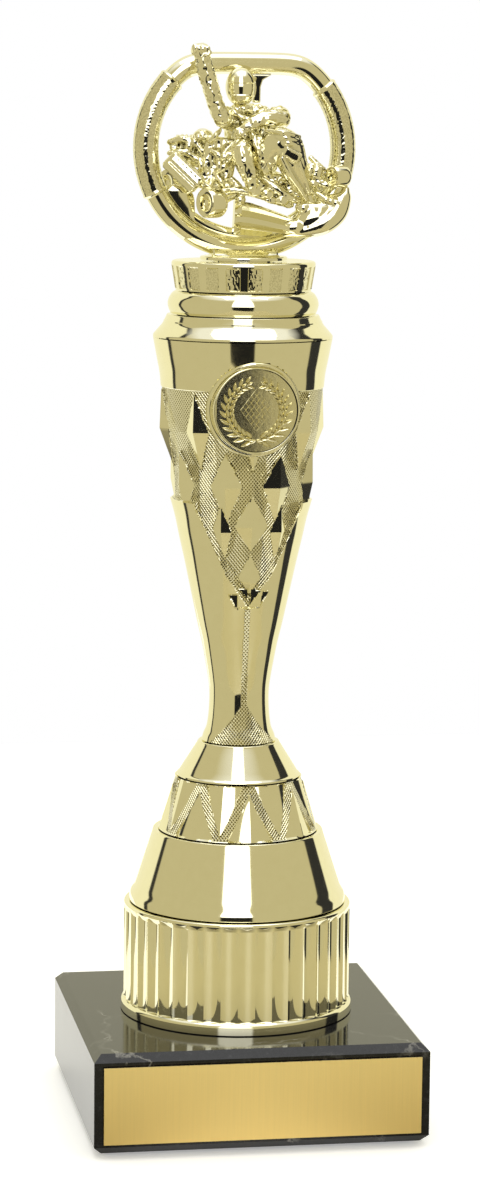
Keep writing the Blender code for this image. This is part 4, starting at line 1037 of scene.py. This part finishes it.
places = ring_places(LEFT_GRIP[1] + JOINT, 360 + RIGHT_GRIP[0] - JOINT, RING_ROW)
last_place = len(places) - 1
points, faces = sweep(places, lambda k, s: RIM_TUBE, RING_SIDES)
lip = [Vector((p.x * LIP_SHARE, LIP_BACK, ring_z + (p.z - ring_z) * LIP_SHARE)) for p in places]
lip_points, lip_faces = sweep(lip, lip_radius, LIP_SIDES)
faces += [tuple(i + len(points) for i in face) for face in lip_faces]
add_piece("ring_lower_arc", points + lip_points, faces, gold, "figure",
          ["wheel_lower_arc"], 50)

GRIP_ROW, GRIP_SIDES, GRIP_OVERLAP = 0.3, 76, 0.4       # the last in degrees, past its own ends
COLLAR = (0.93, 1.0, 1.04, 1.02)        # first rings of a grip, in shares of its radius
GRIP_SINK, GRIP_GRAIN = 0.04, 0.09
for name, (first, last), node_name in (("ring_grip_left", LEFT_GRIP, "wheel_grip_left"),
                                       ("ring_grip_right", RIGHT_GRIP, "wheel_grip_right")):
    places = ring_places(first - GRIP_OVERLAP, last + GRIP_OVERLAP, GRIP_ROW)
    final = len(places) - 1

    def grain(k, s, final=final):
        edge = min(k, final - k)
        if edge < len(COLLAR):
            return GRIP_TUBE * COLLAR[edge]
        return GRIP_TUBE - GRIP_SINK + GRIP_GRAIN * (hashed(k, s) - 0.5)

    points, faces = sweep(places, grain, GRIP_SIDES)
    netted = np.zeros((len(points), 3))
    # the gold material paints shade into the pits of the grips' stipple
    netted[len(COLLAR) * GRIP_SIDES:-len(COLLAR) * GRIP_SIDES, 2] = IS_STIPPLE
    add_piece(name, points, faces, gold, "figure", [node_name], 24, netted)


def points_and_faces(bm, scale):
    """Vertices times a scale and faces of a finished bmesh, which is then freed."""
    bm.verts.index_update()
    points = [vert.co * scale for vert in bm.verts]
    faces = [tuple(vert.index for vert in face.verts) for face in bm.faces]
    bm.free()
    return points, faces


SPOKE_EDGE = 0.35               # rounding of a spoke's edges


def upright_plate(outline, low, high, centre):
    """Plate from an outline of (x, z) about a centre, between two Y values, with softened edges."""
    bm = bmesh.new()
    front = [bm.verts.new(((centre.x + x) * MM, low * MM, (centre.z + z) * MM)) for x, z in outline]
    made = bm.faces.new(front)
    bm.normal_update()
    grown = bmesh.ops.extrude_face_region(bm, geom=[made])
    moved = [g for g in grown["geom"] if isinstance(g, bmesh.types.BMVert)]
    bmesh.ops.translate(bm, vec=(0, (high - low) * MM, 0), verts=moved)
    bmesh.ops.recalc_face_normals(bm, faces=bm.faces)
    corners = [edge for edge in bm.edges if edge.calc_face_angle(0) > 0.5]
    bmesh.ops.bevel(bm, geom=corners, offset=SPOKE_EDGE * MM, segments=3, affect='EDGES', profile=0.5)
    return points_and_faces(bm, 1)


TOP_SPOKE_X, TOP_SPOKE_TURN = 3.4, 0.17         # the top spoke's face is turned a little to the left
spoke_outline = [(-4.4, 0.3), (-1.8, -1.3), (-1.15, -3.4), (-1.1, -8), (1.1, -8), (1.15, -3.4),
                 (1.8, -1.3), (4.4, 0.3)]
points, faces = upright_plate(spoke_outline, -0.2, 2.2,
                              hub + Vector((TOP_SPOKE_X, 0, FLAT_TOP - RIM_TUBE - 0.4)))
for point in points:
    point.y -= TOP_SPOKE_TURN * (point.x - TOP_SPOKE_X * MM)
add_piece("ring_spoke_top", points, faces, gold, "figure", ["wheel_spoke_top"])
rim_inside = RIM - RIM_TUBE + 0.1
rim_side = [(rim_inside * cos(radians(t)), rim_inside * sin(radians(t))) for t in range(208, 238, 4)]
plate_edge = [(-15.0, -15.6), (-15.4, -13.6), (-16.6, -12.2), (-18.4, -11.3), (-21.2, -10.6)]
points, faces = upright_plate(rim_side + plate_edge, -1.2, 1.2, hub)
add_piece("ring_spoke_left", points, faces, gold, "figure", ["wheel_spoke_left"])


# ---------------------------------------------------------------- kart
# Part of the same moulding: a racing kart that comes out of the ring towards the front right, nose
# down. Each part is blended from simple forms the way a sculptor builds up a pattern.
def set_down(bm, verts, centre, turn):
    """Turn a form about X, then Y, then Z, and move it to its place."""
    spin = (Matrix.Rotation(turn[2], 3, 'Z') @ Matrix.Rotation(turn[1], 3, 'Y')
            @ Matrix.Rotation(turn[0], 3, 'X'))
    bmesh.ops.rotate(bm, matrix=spin, verts=verts)
    bmesh.ops.translate(bm, vec=centre, verts=verts)


def add_ball(bm, centre, radii, turn=(0, 0, 0)):
    """An ellipsoid."""
    made = bmesh.ops.create_uvsphere(bm, u_segments=28, v_segments=16, radius=1)["verts"]
    bmesh.ops.scale(bm, vec=radii, verts=made)
    set_down(bm, made, centre, turn)


def add_slab(bm, centre, size, turn=(0, 0, 0), chamfer=0.3):
    """A block with chamfered edges."""
    made = bmesh.ops.create_cube(bm, size=1)["verts"]
    bmesh.ops.scale(bm, vec=size, verts=made)
    edges = list({edge for vert in made for edge in vert.link_edges})
    made = list({v for f in bmesh.ops.bevel(bm, geom=edges, offset=chamfer, segments=1,
                                            affect='EDGES')["faces"] for v in f.verts})
    set_down(bm, made, centre, turn)


LIMB_STEPS, LIMB_SIDES = 7, 20          # steps between two places of a limb, and sides of its round


def add_limb(bm, places, radii):
    """Round limb through places, its radius eased between the given ones."""
    spots = np.linspace(0, len(places) - 1, (len(places) - 1) * LIMB_STEPS + 1)
    columns = [smooth_line([(k, p[axis]) for k, p in enumerate(places)], spots) for axis in range(3)]
    widths = smooth_line(list(enumerate(radii)), spots)
    line = [Vector(p) for p in zip(*columns)]
    points, faces = sweep(line, lambda k, s: float(widths[k]), LIMB_SIDES)
    made = [bm.verts.new(p / MM) for p in points]
    for face in faces:
        bm.faces.new([made[i] for i in face])
    for end, width in ((line[0], radii[0]), (line[-1], radii[-1])):
        add_ball(bm, end, (width, width, width))


TYRE_STEPS = 40


def add_wheel(bm, centre, axis, radius, half):
    """Racing slick: rounded shoulders, a dished rim and a hub nut."""
    outline = [(0.01, -half * 0.75), (radius * 0.2, -half * 0.75), (radius * 0.24, -half * 0.55),
               (radius * 0.5, -half * 0.5), (radius * 0.56, -half * 0.96), (radius * 0.62, -half),
               (radius * 0.9, -half), (radius * 0.98, -half * 0.8), (radius, -half * 0.45),
               (radius, half * 0.45), (radius * 0.98, half * 0.8), (radius * 0.9, half),
               (radius * 0.3, half), (0.01, half * 0.9)]
    turn = Vector(axis).to_track_quat('Z', 'Y').to_matrix()
    rings = []
    for r, z in outline:
        ring = [(r * cos(2 * pi * s / TYRE_STEPS), r * sin(2 * pi * s / TYRE_STEPS), z)
                for s in range(TYRE_STEPS)]
        rings.append([bm.verts.new(centre + turn @ Vector(place)) for place in ring])
    for first, second in zip(rings, rings[1:]):
        for s in range(TYRE_STEPS):
            n = (s + 1) % TYRE_STEPS
            bm.faces.new((first[s], second[s], second[n], first[n]))
    bm.faces.new(rings[0])
    bm.faces.new(list(reversed(rings[-1])))


def moulded(name, build, voxel, stands_for, folds=None, smooth=3):
    """Blend the forms that build adds into one skin, and give cloth its folds.
    folds is (depth, length across, stretch along X, Y and Z)."""
    bm = bmesh.new()
    build(bm)
    bmesh.ops.translate(bm, vec=hub, verts=bm.verts)
    mesh = bpy.data.meshes.new(name + "_forms")
    bm.to_mesh(mesh)
    bm.free()
    forms = bpy.data.objects.new(name + "_forms", mesh)
    scene.collection.objects.link(forms)
    blend = forms.modifiers.new("blend", 'REMESH')
    blend.mode = 'VOXEL'
    blend.voxel_size = voxel
    bpy.context.view_layer.update()
    skin = bpy.data.meshes.new_from_object(forms.evaluated_get(
        bpy.context.evaluated_depsgraph_get()))
    bpy.data.objects.remove(forms, do_unlink=True)
    bm = bmesh.new()
    bm.from_mesh(skin)
    bpy.data.meshes.remove(skin)
    for _ in range(smooth):
        bmesh.ops.smooth_vert(bm, verts=bm.verts, factor=0.5, use_axis_x=True, use_axis_y=True,
                              use_axis_z=True)
    if folds:
        depth, length, stretch = folds
        bm.normal_update()
        shifts = []
        for vert in bm.verts:
            spot = Vector(a * b / length for a, b in zip(vert.co, stretch))
            ridge = 1 - abs(noise.noise(spot)) * 2.6             # sharp crests, as gathered cloth has
            crumple = noise.noise(spot * 2.7 + Vector((5, 3, 1)))
            shifts.append(vert.normal * depth * (ridge * 0.7 + crumple * 0.5 - 0.3))
        for vert, shift in zip(bm.verts, shifts):
            vert.co += shift
    points, faces = points_and_faces(bm, MM)
    netted = np.zeros((len(points), 3))
    # the gold material paints shade into the creases of the sculpture
    netted[:, 2] = IS_CAST
    add_piece(name, points, faces, gold, "figure", stands_for, 180, netted)


def side_pod(bm):
    """Tilted box beside the driver with three mouldings along it."""
    tilt = (0, radians(43), radians(-15))
    add_slab(bm, (-19.2, -6.3, -7.0), (12.5, 4.2, 6.4), tilt, 0.9)
    for shift in (-1.6, 0.2, 2.0):
        add_slab(bm, (-19.2 + shift * 0.6, -8.4, -7.0 + shift * 0.75), (11.2, 0.7, 0.7), tilt, 0.15)
    add_slab(bm, (-14.2, -6.8, -9.4), (9, 3.4, 1.2), (0, radians(36), radians(-12)), 0.3)


def engine(bm):
    """Finned block with its carburettor, exhaust and hoses."""
    add_slab(bm, (-15.4, 3.0, -1.0), (12.5, 6.6, 6.6), (0, radians(4), 0), 0.9)
    for fin in range(7):
        add_slab(bm, (-20.6 + fin * 1.35, 0.9, 0.9), (0.5, 5.2, 6.2), (0, radians(14), 0), 0.1)
    add_ball(bm, (-12.6, -0.6, 3.6), (2.9, 2.4, 2.1))
    add_limb(bm, [(-22.6, -0.5, 1.6), (-18.8, -2.4, 2.6), (-15.0, -2.8, 1.2), (-12.5, -3.4, -2.0)],
             [0.9, 1.1, 1.1, 1.0])
    add_limb(bm, [(-22.8, -1.5, -1.6), (-19.0, -3.2, -1.2), (-15.8, -3.6, -2.6), (-11.5, -4.6, -5.6)],
             [0.8, 0.9, 0.9, 0.9])
    add_limb(bm, [(-21.5, 1.0, -3.6), (-17.0, -1.5, -4.0), (-13.0, -3.0, -5.0)], [1.2, 1.4, 1.2])
    for spot, size in (((-21.4, -0.6, 0.1), 1.3), ((-17.2, -3.4, 0.6), 1.2), ((-14.4, -4.2, 3.2), 1.1),
                       ((-10.6, -3.0, 1.6), 1.5), ((-11.4, -4.6, -2.4), 1.3)):
        add_ball(bm, spot, (size, size * 0.8, size))


def floor_tray(bm):
    """Tray under the driver's feet with frame tubes and fittings on it."""
    add_slab(bm, (3.4, -0.5, -13.4), (16.5, 10.5, 2.4), (0, radians(13), 0), 0.6)
    add_limb(bm, [(-9.5, -6.9, -12.6), (-3.0, -8.6, -12.2), (4.0, -8.4, -14.0), (12.0, -8.0, -16.6)],
             [0.9, 1.0, 1.0, 0.9])
    add_limb(bm, [(-8.4, -3.0, -8.6), (-4.6, -6.8, -9.6), (-1.8, -8.2, -13.0)], [1.1, 1.2, 1.1])
    add_limb(bm, [(4.4, -7.0, -8.5), (7.5, -8.2, -11.0), (11.2, -8.6, -13.6), (15.8, -8.0, -15.6)],
             [1.5, 1.6, 1.4, 1.0])
    for spot, size in (((-6.4, -5.6, -11.6), 1.6), ((1.2, -8.4, -11.0), 1.4), ((5.2, -8.6, -13.2), 1.7),
                       ((9.6, -8.8, -15.2), 1.6), ((-2.6, -8.6, -15.0), 1.3)):
        add_ball(bm, spot, (size * 1.3, size, size))


def cockpit(bm):
    """Seat, side rails, tank and hoses that fill the space behind and beside the driver."""
    add_slab(bm, (-8.6, -4.2, -4.2), (10.0, 4.0, 15.0), (0, radians(10), 0), 0.8)
    add_slab(bm, (-11.4, -4.8, -9.6), (9.0, 3.6, 6.4), (0, radians(28), 0), 0.6)
    add_slab(bm, (8.0, -5.0, -11.0), (15.0, 4.0, 8.5), (0, radians(22), 0), 0.7)
    add_slab(bm, (18.6, -5.6, -9.2), (6.0, 4.0, 8.4), (0, radians(-20), 0), 0.6)
    for k in range(11):
        x, z = -14.2 + 9.5 * hashed(k, 1), -12.5 + 15.5 * hashed(k, 2)
        length, lean = 2.6 + 3.0 * hashed(k, 3), 0.6 + 1.9 * hashed(k, 4)
        reach_x, reach_z = length * cos(lean), length * sin(lean)
        add_limb(bm, [(x, -6.4, z), (x + reach_x / 2, -7.8, z + reach_z / 2),
                      (x + reach_x, -6.6, z + reach_z)], [0.7, 0.85, 0.7])
    for k in range(9):
        x, z = 2.6 + 11.0 * hashed(k, 5), -14.6 + 7.5 * hashed(k, 6)
        length, lean = 2.8 + 2.5 * hashed(k, 7), -0.5 + 1.0 * hashed(k, 8)
        reach_x, reach_z = length * cos(lean), length * sin(lean)
        add_limb(bm, [(x, -7.4, z), (x + reach_x / 2, -8.9, z + reach_z / 2),
                      (x + reach_x, -7.6, z + reach_z)], [0.7, 0.9, 0.7])
    for k in range(6):
        add_ball(bm, (16.6 + 5.0 * hashed(k, 9), -7.8, -11.8 + 6.5 * hashed(k, 10)),
                 (1.2 + 0.5 * hashed(k, 11), 1.1, 1.1 + 0.5 * hashed(k, 12)))


def kart_nose(bm):
    """Rounded nose with a bumper tube swept along its lower edge."""
    add_ball(bm, (20.4, -8.6, -19.8), (7.6, 3.6, 4.4), (0, radians(-24), 0))
    add_ball(bm, (14.0, -8.6, -22.8), (5.0, 3.0, 2.8), (0, radians(-8), 0))
    add_ball(bm, (26.0, -8.4, -16.4), (3.6, 3.0, 3.6), (0, radians(-40), 0))
    add_limb(bm, [(10.5, -8.9, -25.0), (16.0, -9.4, -24.0), (21.5, -9.6, -22.0), (25.8, -9.3, -18.6),
                  (28.2, -8.8, -14.4), (29.0, -8.2, -11.8)], [1.0, 2.1, 3.2, 3.4, 2.4, 1.2])
    add_ball(bm, (19.4, -9.2, -19.0), (3.8, 2.8, 3.4), (0, radians(35), 0))
    add_ball(bm, (16.2, -9.0, -17.2), (2.6, 2.4, 2.0))
    for k in range(4):
        add_limb(bm, [(20.2 + k * 1.9, -9.4, -13.0 - k * 0.4), (22.6 + k * 1.5, -11.2, -14.8 - k * 0.4)],
                 [0.8, 0.9])


def front_hub(bm):
    """Upright and steering arms behind the front left wheel."""
    add_slab(bm, (20.4, -7.0, -6.6), (3.4, 4.4, 4.4), (0, radians(20), 0), 0.7)
    add_limb(bm, [(17.0, -6.5, -4.4), (20.0, -7.5, -9.0), (23.4, -8.3, -10.6)], [1.0, 1.3, 1.1])
    add_limb(bm, [(18.6, -6.8, -2.6), (22.2, -7.4, -6.0)], [0.8, 1.0])


KART_VOXEL = 0.32               # fineness of the kart's skin in millimetres
moulded("kart_pod", side_pod, KART_VOXEL, ["kart_side_pod"], None, 2)
moulded("kart_engine_block", engine, KART_VOXEL, ["kart_engine"], (0.16, 1.4, (1, 1, 1)), 1)
moulded("kart_tray", floor_tray, KART_VOXEL, ["kart_floor"], (0.14, 1.6, (1, 1, 1)), 2)
moulded("kart_cockpit", cockpit, KART_VOXEL, [], (0.22, 1.8, (1, 1, 1)), 2)
moulded("kart_nose_cone", kart_nose, KART_VOXEL, ["kart_nose"], None, 4)
moulded("kart_front_hub", front_hub, KART_VOXEL, ["kart_hub_left"], (0.14, 1.3, (1, 1, 1)), 1)
moulded("kart_stub_axle", lambda bm: add_limb(bm, [(-7.6, -7.4, -15.3), (-5.8, -6.8, -14.4),
                                                   (-3.6, -6.0, -13.2)], [1.5, 1.2, 1.6]),
        0.3, ["kart_axle"], None, 2)

AXLE = Vector((0.88, 0.47, 0)).normalized()      # from the outer side of the right wheels inward
for name, spot, size, half, node_name in (
        ("kart_tyre_front_right", (-11.2, -9.5, -15.8), 4.5, 2.8, "kart_wheel_right"),
        ("kart_tyre_rear_right", (-20.5, 6.6, -10.4), 4.2, 2.5, "kart_wheel_rear"),
        ("kart_tyre_front_left", (26.6, -8.3, -8.0), 3.4, 2.6, "kart_wheel_left")):
    bm = bmesh.new()
    add_wheel(bm, Vector(spot) + hub, AXLE, size, half)
    points, faces = points_and_faces(bm, MM)
    add_piece(name, points, faces, gold, "figure", [node_name], 40)

# The front fairing: a long creased wedge, drawn as a grid between its upper and lower edges.
UPPER = ((-4.2, -15.2), (0.5, -15.8), (6.0, -17.6), (11.5, -19.6), (15.8, -21.2))
LOWER = ((-4.6, -25.0), (-0.5, -25.4), (4.5, -25.7), (9.5, -25.9), (14.0, -25.6))
FAIRING_Y, FAIRING_BACK, FAIRING_TAPER = -8.6, -5.8, 0.35
CREASES = ((0, -8.6), (0.1, -11.4), (0.36, -10.0), (0.44, -11.8), (0.62, -11.6), (0.7, -10.3),
           (0.8, -12.0), (1.0, -9.0))     # share of the way down, Y
ACROSS, ALONG = 36, 30
vertices, faces = [], []
for i in range(ALONG + 1):
    at = i / ALONG * (len(UPPER) - 1)
    upper, lower = (Vector((np.interp(at, range(len(line)), [x for x, z in line]), 0,
                            np.interp(at, range(len(line)), [z for x, z in line])))
                    for line in (UPPER, LOWER))
    taper = (1 - FAIRING_TAPER * (i / ALONG) ** 2) * min(1, (i + 1) / 4)
    for j in range(ACROSS + 1):
        spot = upper + (lower - upper) * (j / ACROSS) + hub
        spot.y = FAIRING_Y + (np.interp(j / ACROSS, *zip(*CREASES)) - FAIRING_Y) * taper
        vertices.append(spot * MM)
front_count = len(vertices)
vertices += [Vector((v.x, FAIRING_BACK * MM, v.z)) for v in vertices]
row = ACROSS + 1
for i in range(ALONG):
    for j in range(ACROSS):
        a = i * row + j
        faces.append((a, a + 1, a + row + 1, a + row))
        b = a + front_count
        faces.append((b, b + row, b + row + 1, b + 1))
border = ([i * row for i in range(ALONG)] + [ALONG * row + j for j in range(ACROSS)]
          + [i * row + ACROSS for i in range(ALONG, 0, -1)] + list(range(ACROSS, 0, -1)))
for first, second in zip(border, border[1:] + border[:1]):
    faces.append((first, second, second + front_count, first + front_count))
add_piece("kart_fairing", vertices, faces, gold, "figure", ["kart_bumper"], 18)


# ---------------------------------------------------------------- driver
# Driver in a race suit and a closed full-face helmet, so no face shows: one fist raised, the other
# arm on the kart's wheel, knees up on both sides of the steering column.
def torso(bm):
    """Chest, shoulders, hips and the folds round the neck."""
    add_ball(bm, (1.2, -1.2, 4.5), (7.6, 4.2, 7.6), (0, radians(12), 0))
    add_ball(bm, (9.0, -2.8, 9.2), (3.3, 3.0, 3.1))
    add_ball(bm, (-6.4, -4.2, 9.2), (3.0, 2.9, 3.0))
    add_ball(bm, (1.8, -3.2, 10.6), (5.2, 2.8, 2.4))
    add_ball(bm, (-2.0, -4.4, 11.6), (3.3, 3.0, 1.7))
    add_ball(bm, (-0.5, -4.0, 2.5), (4.2, 3.0, 5.5))
    add_ball(bm, (3.0, -3.6, -3.4), (6.2, 4.4, 3.8))
    add_limb(bm, [(-4.6, -6.6, 10.6), (-1.5, -7.2, 8.8), (1.0, -7.0, 8.4), (4.2, -5.8, 11.2)],
             [0.8, 0.9, 0.9, 0.8])


def raised_arm(bm):
    """Right arm up beside the ring, with a closed fist and a cuff."""
    add_limb(bm, [(-6.6, -6.4, 8.0), (-8.6, -8.2, 9.4), (-10.9, -8.6, 15), (-13.2, -8.6, 22.4),
                  (-14.5, -8.5, 27.0)], [2.7, 2.6, 2.4, 2.6, 2.3])
    add_ball(bm, (-14.8, -8.4, 28.3), (2.8, 2.5, 2.3))
    for finger in range(4):
        add_ball(bm, (-16.8 + finger * 1.25, -10.2, 28.9 - 0.15 * finger), (0.85, 0.85, 1.25))
    add_ball(bm, (-13.2, -10.5, 27.2), (1.6, 0.8, 0.75), (0, radians(-25), 0))
    add_limb(bm, [(-15.9, -8.8, 25.6), (-14.3, -10.2, 25.4), (-12.4, -8.8, 25.2)], [0.9, 1.0, 0.9])


def bent_arm(bm):
    """Left arm across the chest to the kart's wheel."""
    add_limb(bm, [(9.6, -4.6, 9.6), (9.6, -7.4, 8.6), (6.0, -9.0, 9.0), (1.6, -9.6, 7.8),
                  (-1.6, -9.8, 6.0)], [2.9, 2.6, 2.3, 2.1, 1.6])
    add_ball(bm, (-2.8, -9.9, 5.0), (1.9, 1.6, 1.6))
    for finger in range(3):
        add_ball(bm, (-3.6 + finger * 0.9, -11.2, 4.6 - finger * 0.5), (0.55, 0.6, 1.0))


def left_leg(bm):
    """Big raised knee with its pad, and the shin down to the pedals."""
    add_limb(bm, [(4.2, -7.2, -3.6), (7.6, -10.4, 1.4), (10.6, -11.0, 0.4), (12.6, -10.6, -4.4),
                  (14.9, -9.4, -9.2), (17.0, -8.2, -13.0), (18.8, -7.8, -15.6)],
             [4.2, 4.7, 4.9, 4.4, 3.4, 2.3, 1.7])
    add_ball(bm, (9.4, -12.2, 3.4), (4.4, 3.2, 2.8), (0, radians(20), 0))
    for k in range(3):
        t = 0.2 + k * 1.5
        add_limb(bm, [(4.4 + t * 0.5, -12.6, 5.6 - t), (8.8 + t * 0.5, -16.0, 5.0 - t),
                      (14.0 + t * 0.3, -12.8, 3.8 - t * 0.9)], [0.6, 0.75, 0.6])
    add_slab(bm, (11.4, -15.4, -1.6), (5.4, 1.8, 3.0), (radians(14), radians(28), 0), 0.4)
    add_limb(bm, [(8.6, -15.0, -2.6), (11.0, -14.2, -7.0), (14.4, -12.4, -11.4), (16.8, -10.6, -14.8)],
             [0.9, 1.0, 0.8, 0.6])
    add_limb(bm, [(13.4, -14.4, -3.4), (15.2, -13.0, -7.6), (17.6, -10.8, -12.6)], [0.9, 0.9, 0.6])


def right_leg(bm):
    """Nearer knee and the shin down behind the fairing."""
    add_limb(bm, [(-0.8, -7.0, -1.5), (-2.8, -10.0, 0.2), (-2.2, -11.2, -3.2), (-0.6, -11.0, -7.6),
                  (1.4, -10.4, -12.4)], [3.0, 3.1, 3.0, 2.4, 1.8])
    add_slab(bm, (-1.0, -13.3, -5.4), (3.4, 1.2, 6.6), (0, radians(-14), 0), 0.4)


def hips(bm):
    """Lap and belt ends between the thighs."""
    add_ball(bm, (3.0, -5.0, -4.6), (6.0, 4.2, 4.0))
    add_limb(bm, [(2.4, -9.0, 2.6), (3.2, -10.6, -1.0), (4.4, -9.6, -6.0)], [1.6, 1.8, 1.8])
    add_limb(bm, [(0.6, -8.8, 4.6), (1.6, -10.4, 1.2), (3.4, -10.2, -3.6)], [0.9, 1.0, 1.0])


moulded("driver_suit_body", torso, 0.3, ["driver_torso"], (0.4, 2.8, (1.1, 1.0, 0.7)), 3)
moulded("driver_raised_arm", raised_arm, 0.26, ["driver_arm_raised"], (0.3, 2.0, (0.8, 1, 1.1)), 3)
moulded("driver_bent_arm", bent_arm, 0.26, ["driver_arm_bent"], (0.36, 2.4, (0.7, 1, 1.4)), 3)
moulded("driver_left_leg", left_leg, 0.28, ["driver_leg_left"], (0.08, 3.0, (1, 1, 1)), 2)
moulded("driver_right_leg", right_leg, 0.3, ["driver_leg_right"], (0.25, 2.2, (1, 1, 0.8)), 3)
moulded("driver_hips", hips, 0.3, [], (0.4, 1.8, (1.2, 1, 0.7)), 2)

HELMET = (4.5, 4.7, 5.7)        # half width, depth and height
VISOR_LOW, VISOR_HIGH, VISOR_REACH = -0.42, 0.2, 1.15        # cosines from the top, and radians aside
VISOR_SINK, SEAL_PROUD, SEAL_TALL, SEAL_WIDE = 0.055, 0.012, 0.08, 0.12
CHIN_PROUD = 0.05
VENT_LOW, VENT_HIGH, VENT_REACH, VENT_SINK = -0.66, -0.54, 0.5, 0.04
NECK_CUT = -0.86
HELMET_ROWS, HELMET_STEPS = 56, 88
helmet_low, helmet_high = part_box("driver_helmet")
helmet_middle = (helmet_low + helmet_high) / 2 / MM
vertices, faces = [], []
for i in range(HELMET_ROWS + 1):
    t = pi * i / HELMET_ROWS
    level = cos(t)
    for s in range(HELMET_STEPS):
        turn = 2 * pi * s / HELMET_STEPS
        away = abs((turn + pi) % (2 * pi) - pi)
        swell = 1 + CHIN_PROUD * max(0, -level) * max(0, cos(turn))
        if VISOR_LOW < level < VISOR_HIGH and away < VISOR_REACH:
            swell -= VISOR_SINK
        elif VISOR_LOW - SEAL_TALL < level < VISOR_HIGH + SEAL_TALL and away < VISOR_REACH + SEAL_WIDE:
            swell += SEAL_PROUD
        if VENT_LOW < level < VENT_HIGH and away < VENT_REACH:
            swell -= VENT_SINK * (int((turn + pi) * 9) % 2)
        x, y = HELMET[0] * sin(t) * sin(turn), -HELMET[1] * sin(t) * cos(turn)
        z = HELMET[2] * max(level, NECK_CUT)
        vertices.append((helmet_middle + Vector((x * swell, y * swell, z))) * MM)
for i in range(HELMET_ROWS):
    for s in range(HELMET_STEPS):
        a, n = i * HELMET_STEPS, (s + 1) % HELMET_STEPS
        faces.append((a + s, a + HELMET_STEPS + s, a + HELMET_STEPS + n, a + n))
add_piece("driver_helmet_shell", vertices, faces, gold, "figure", ["driver_helmet"], 35)


# ---------------------------------------------------------------- tie rod, washer and nut
# Bright zinc-plated M6 hardware in the counterbore under the base. It shows only from below.
SPANGLE = 1.5 * MM
zinc, tree, shader = shader_of("zinc_plated_steel")
place = add_node(tree, "ShaderNodeTexCoord").outputs["Object"]
spangle = add_node(tree, "ShaderNodeTexNoise", {"Vector": place, "Scale": 1 / SPANGLE, "Detail": 3.0})
tone = add_node(tree, "ShaderNodeMix", {0: spangle.outputs["Fac"], 6: linear("#A9ACB0"),
                                        7: linear("#CDD0D2")}, data_type='RGBA')
tree.links.new(tone.outputs[2], shader.inputs["Base Color"])
rough = add_node(tree, "ShaderNodeMapRange", {0: spangle.outputs["Fac"], 3: 0.22, 4: 0.38})
tree.links.new(rough.outputs[0], shader.inputs["Roughness"])
shader.inputs["Metallic"].default_value = 1.0
for name, edge in (("tie_rod", 0.3 * MM), ("base_washer", 0.15 * MM), ("base_nut", 0.3 * MM)):
    finish_node(name, zinc, edge, 2)
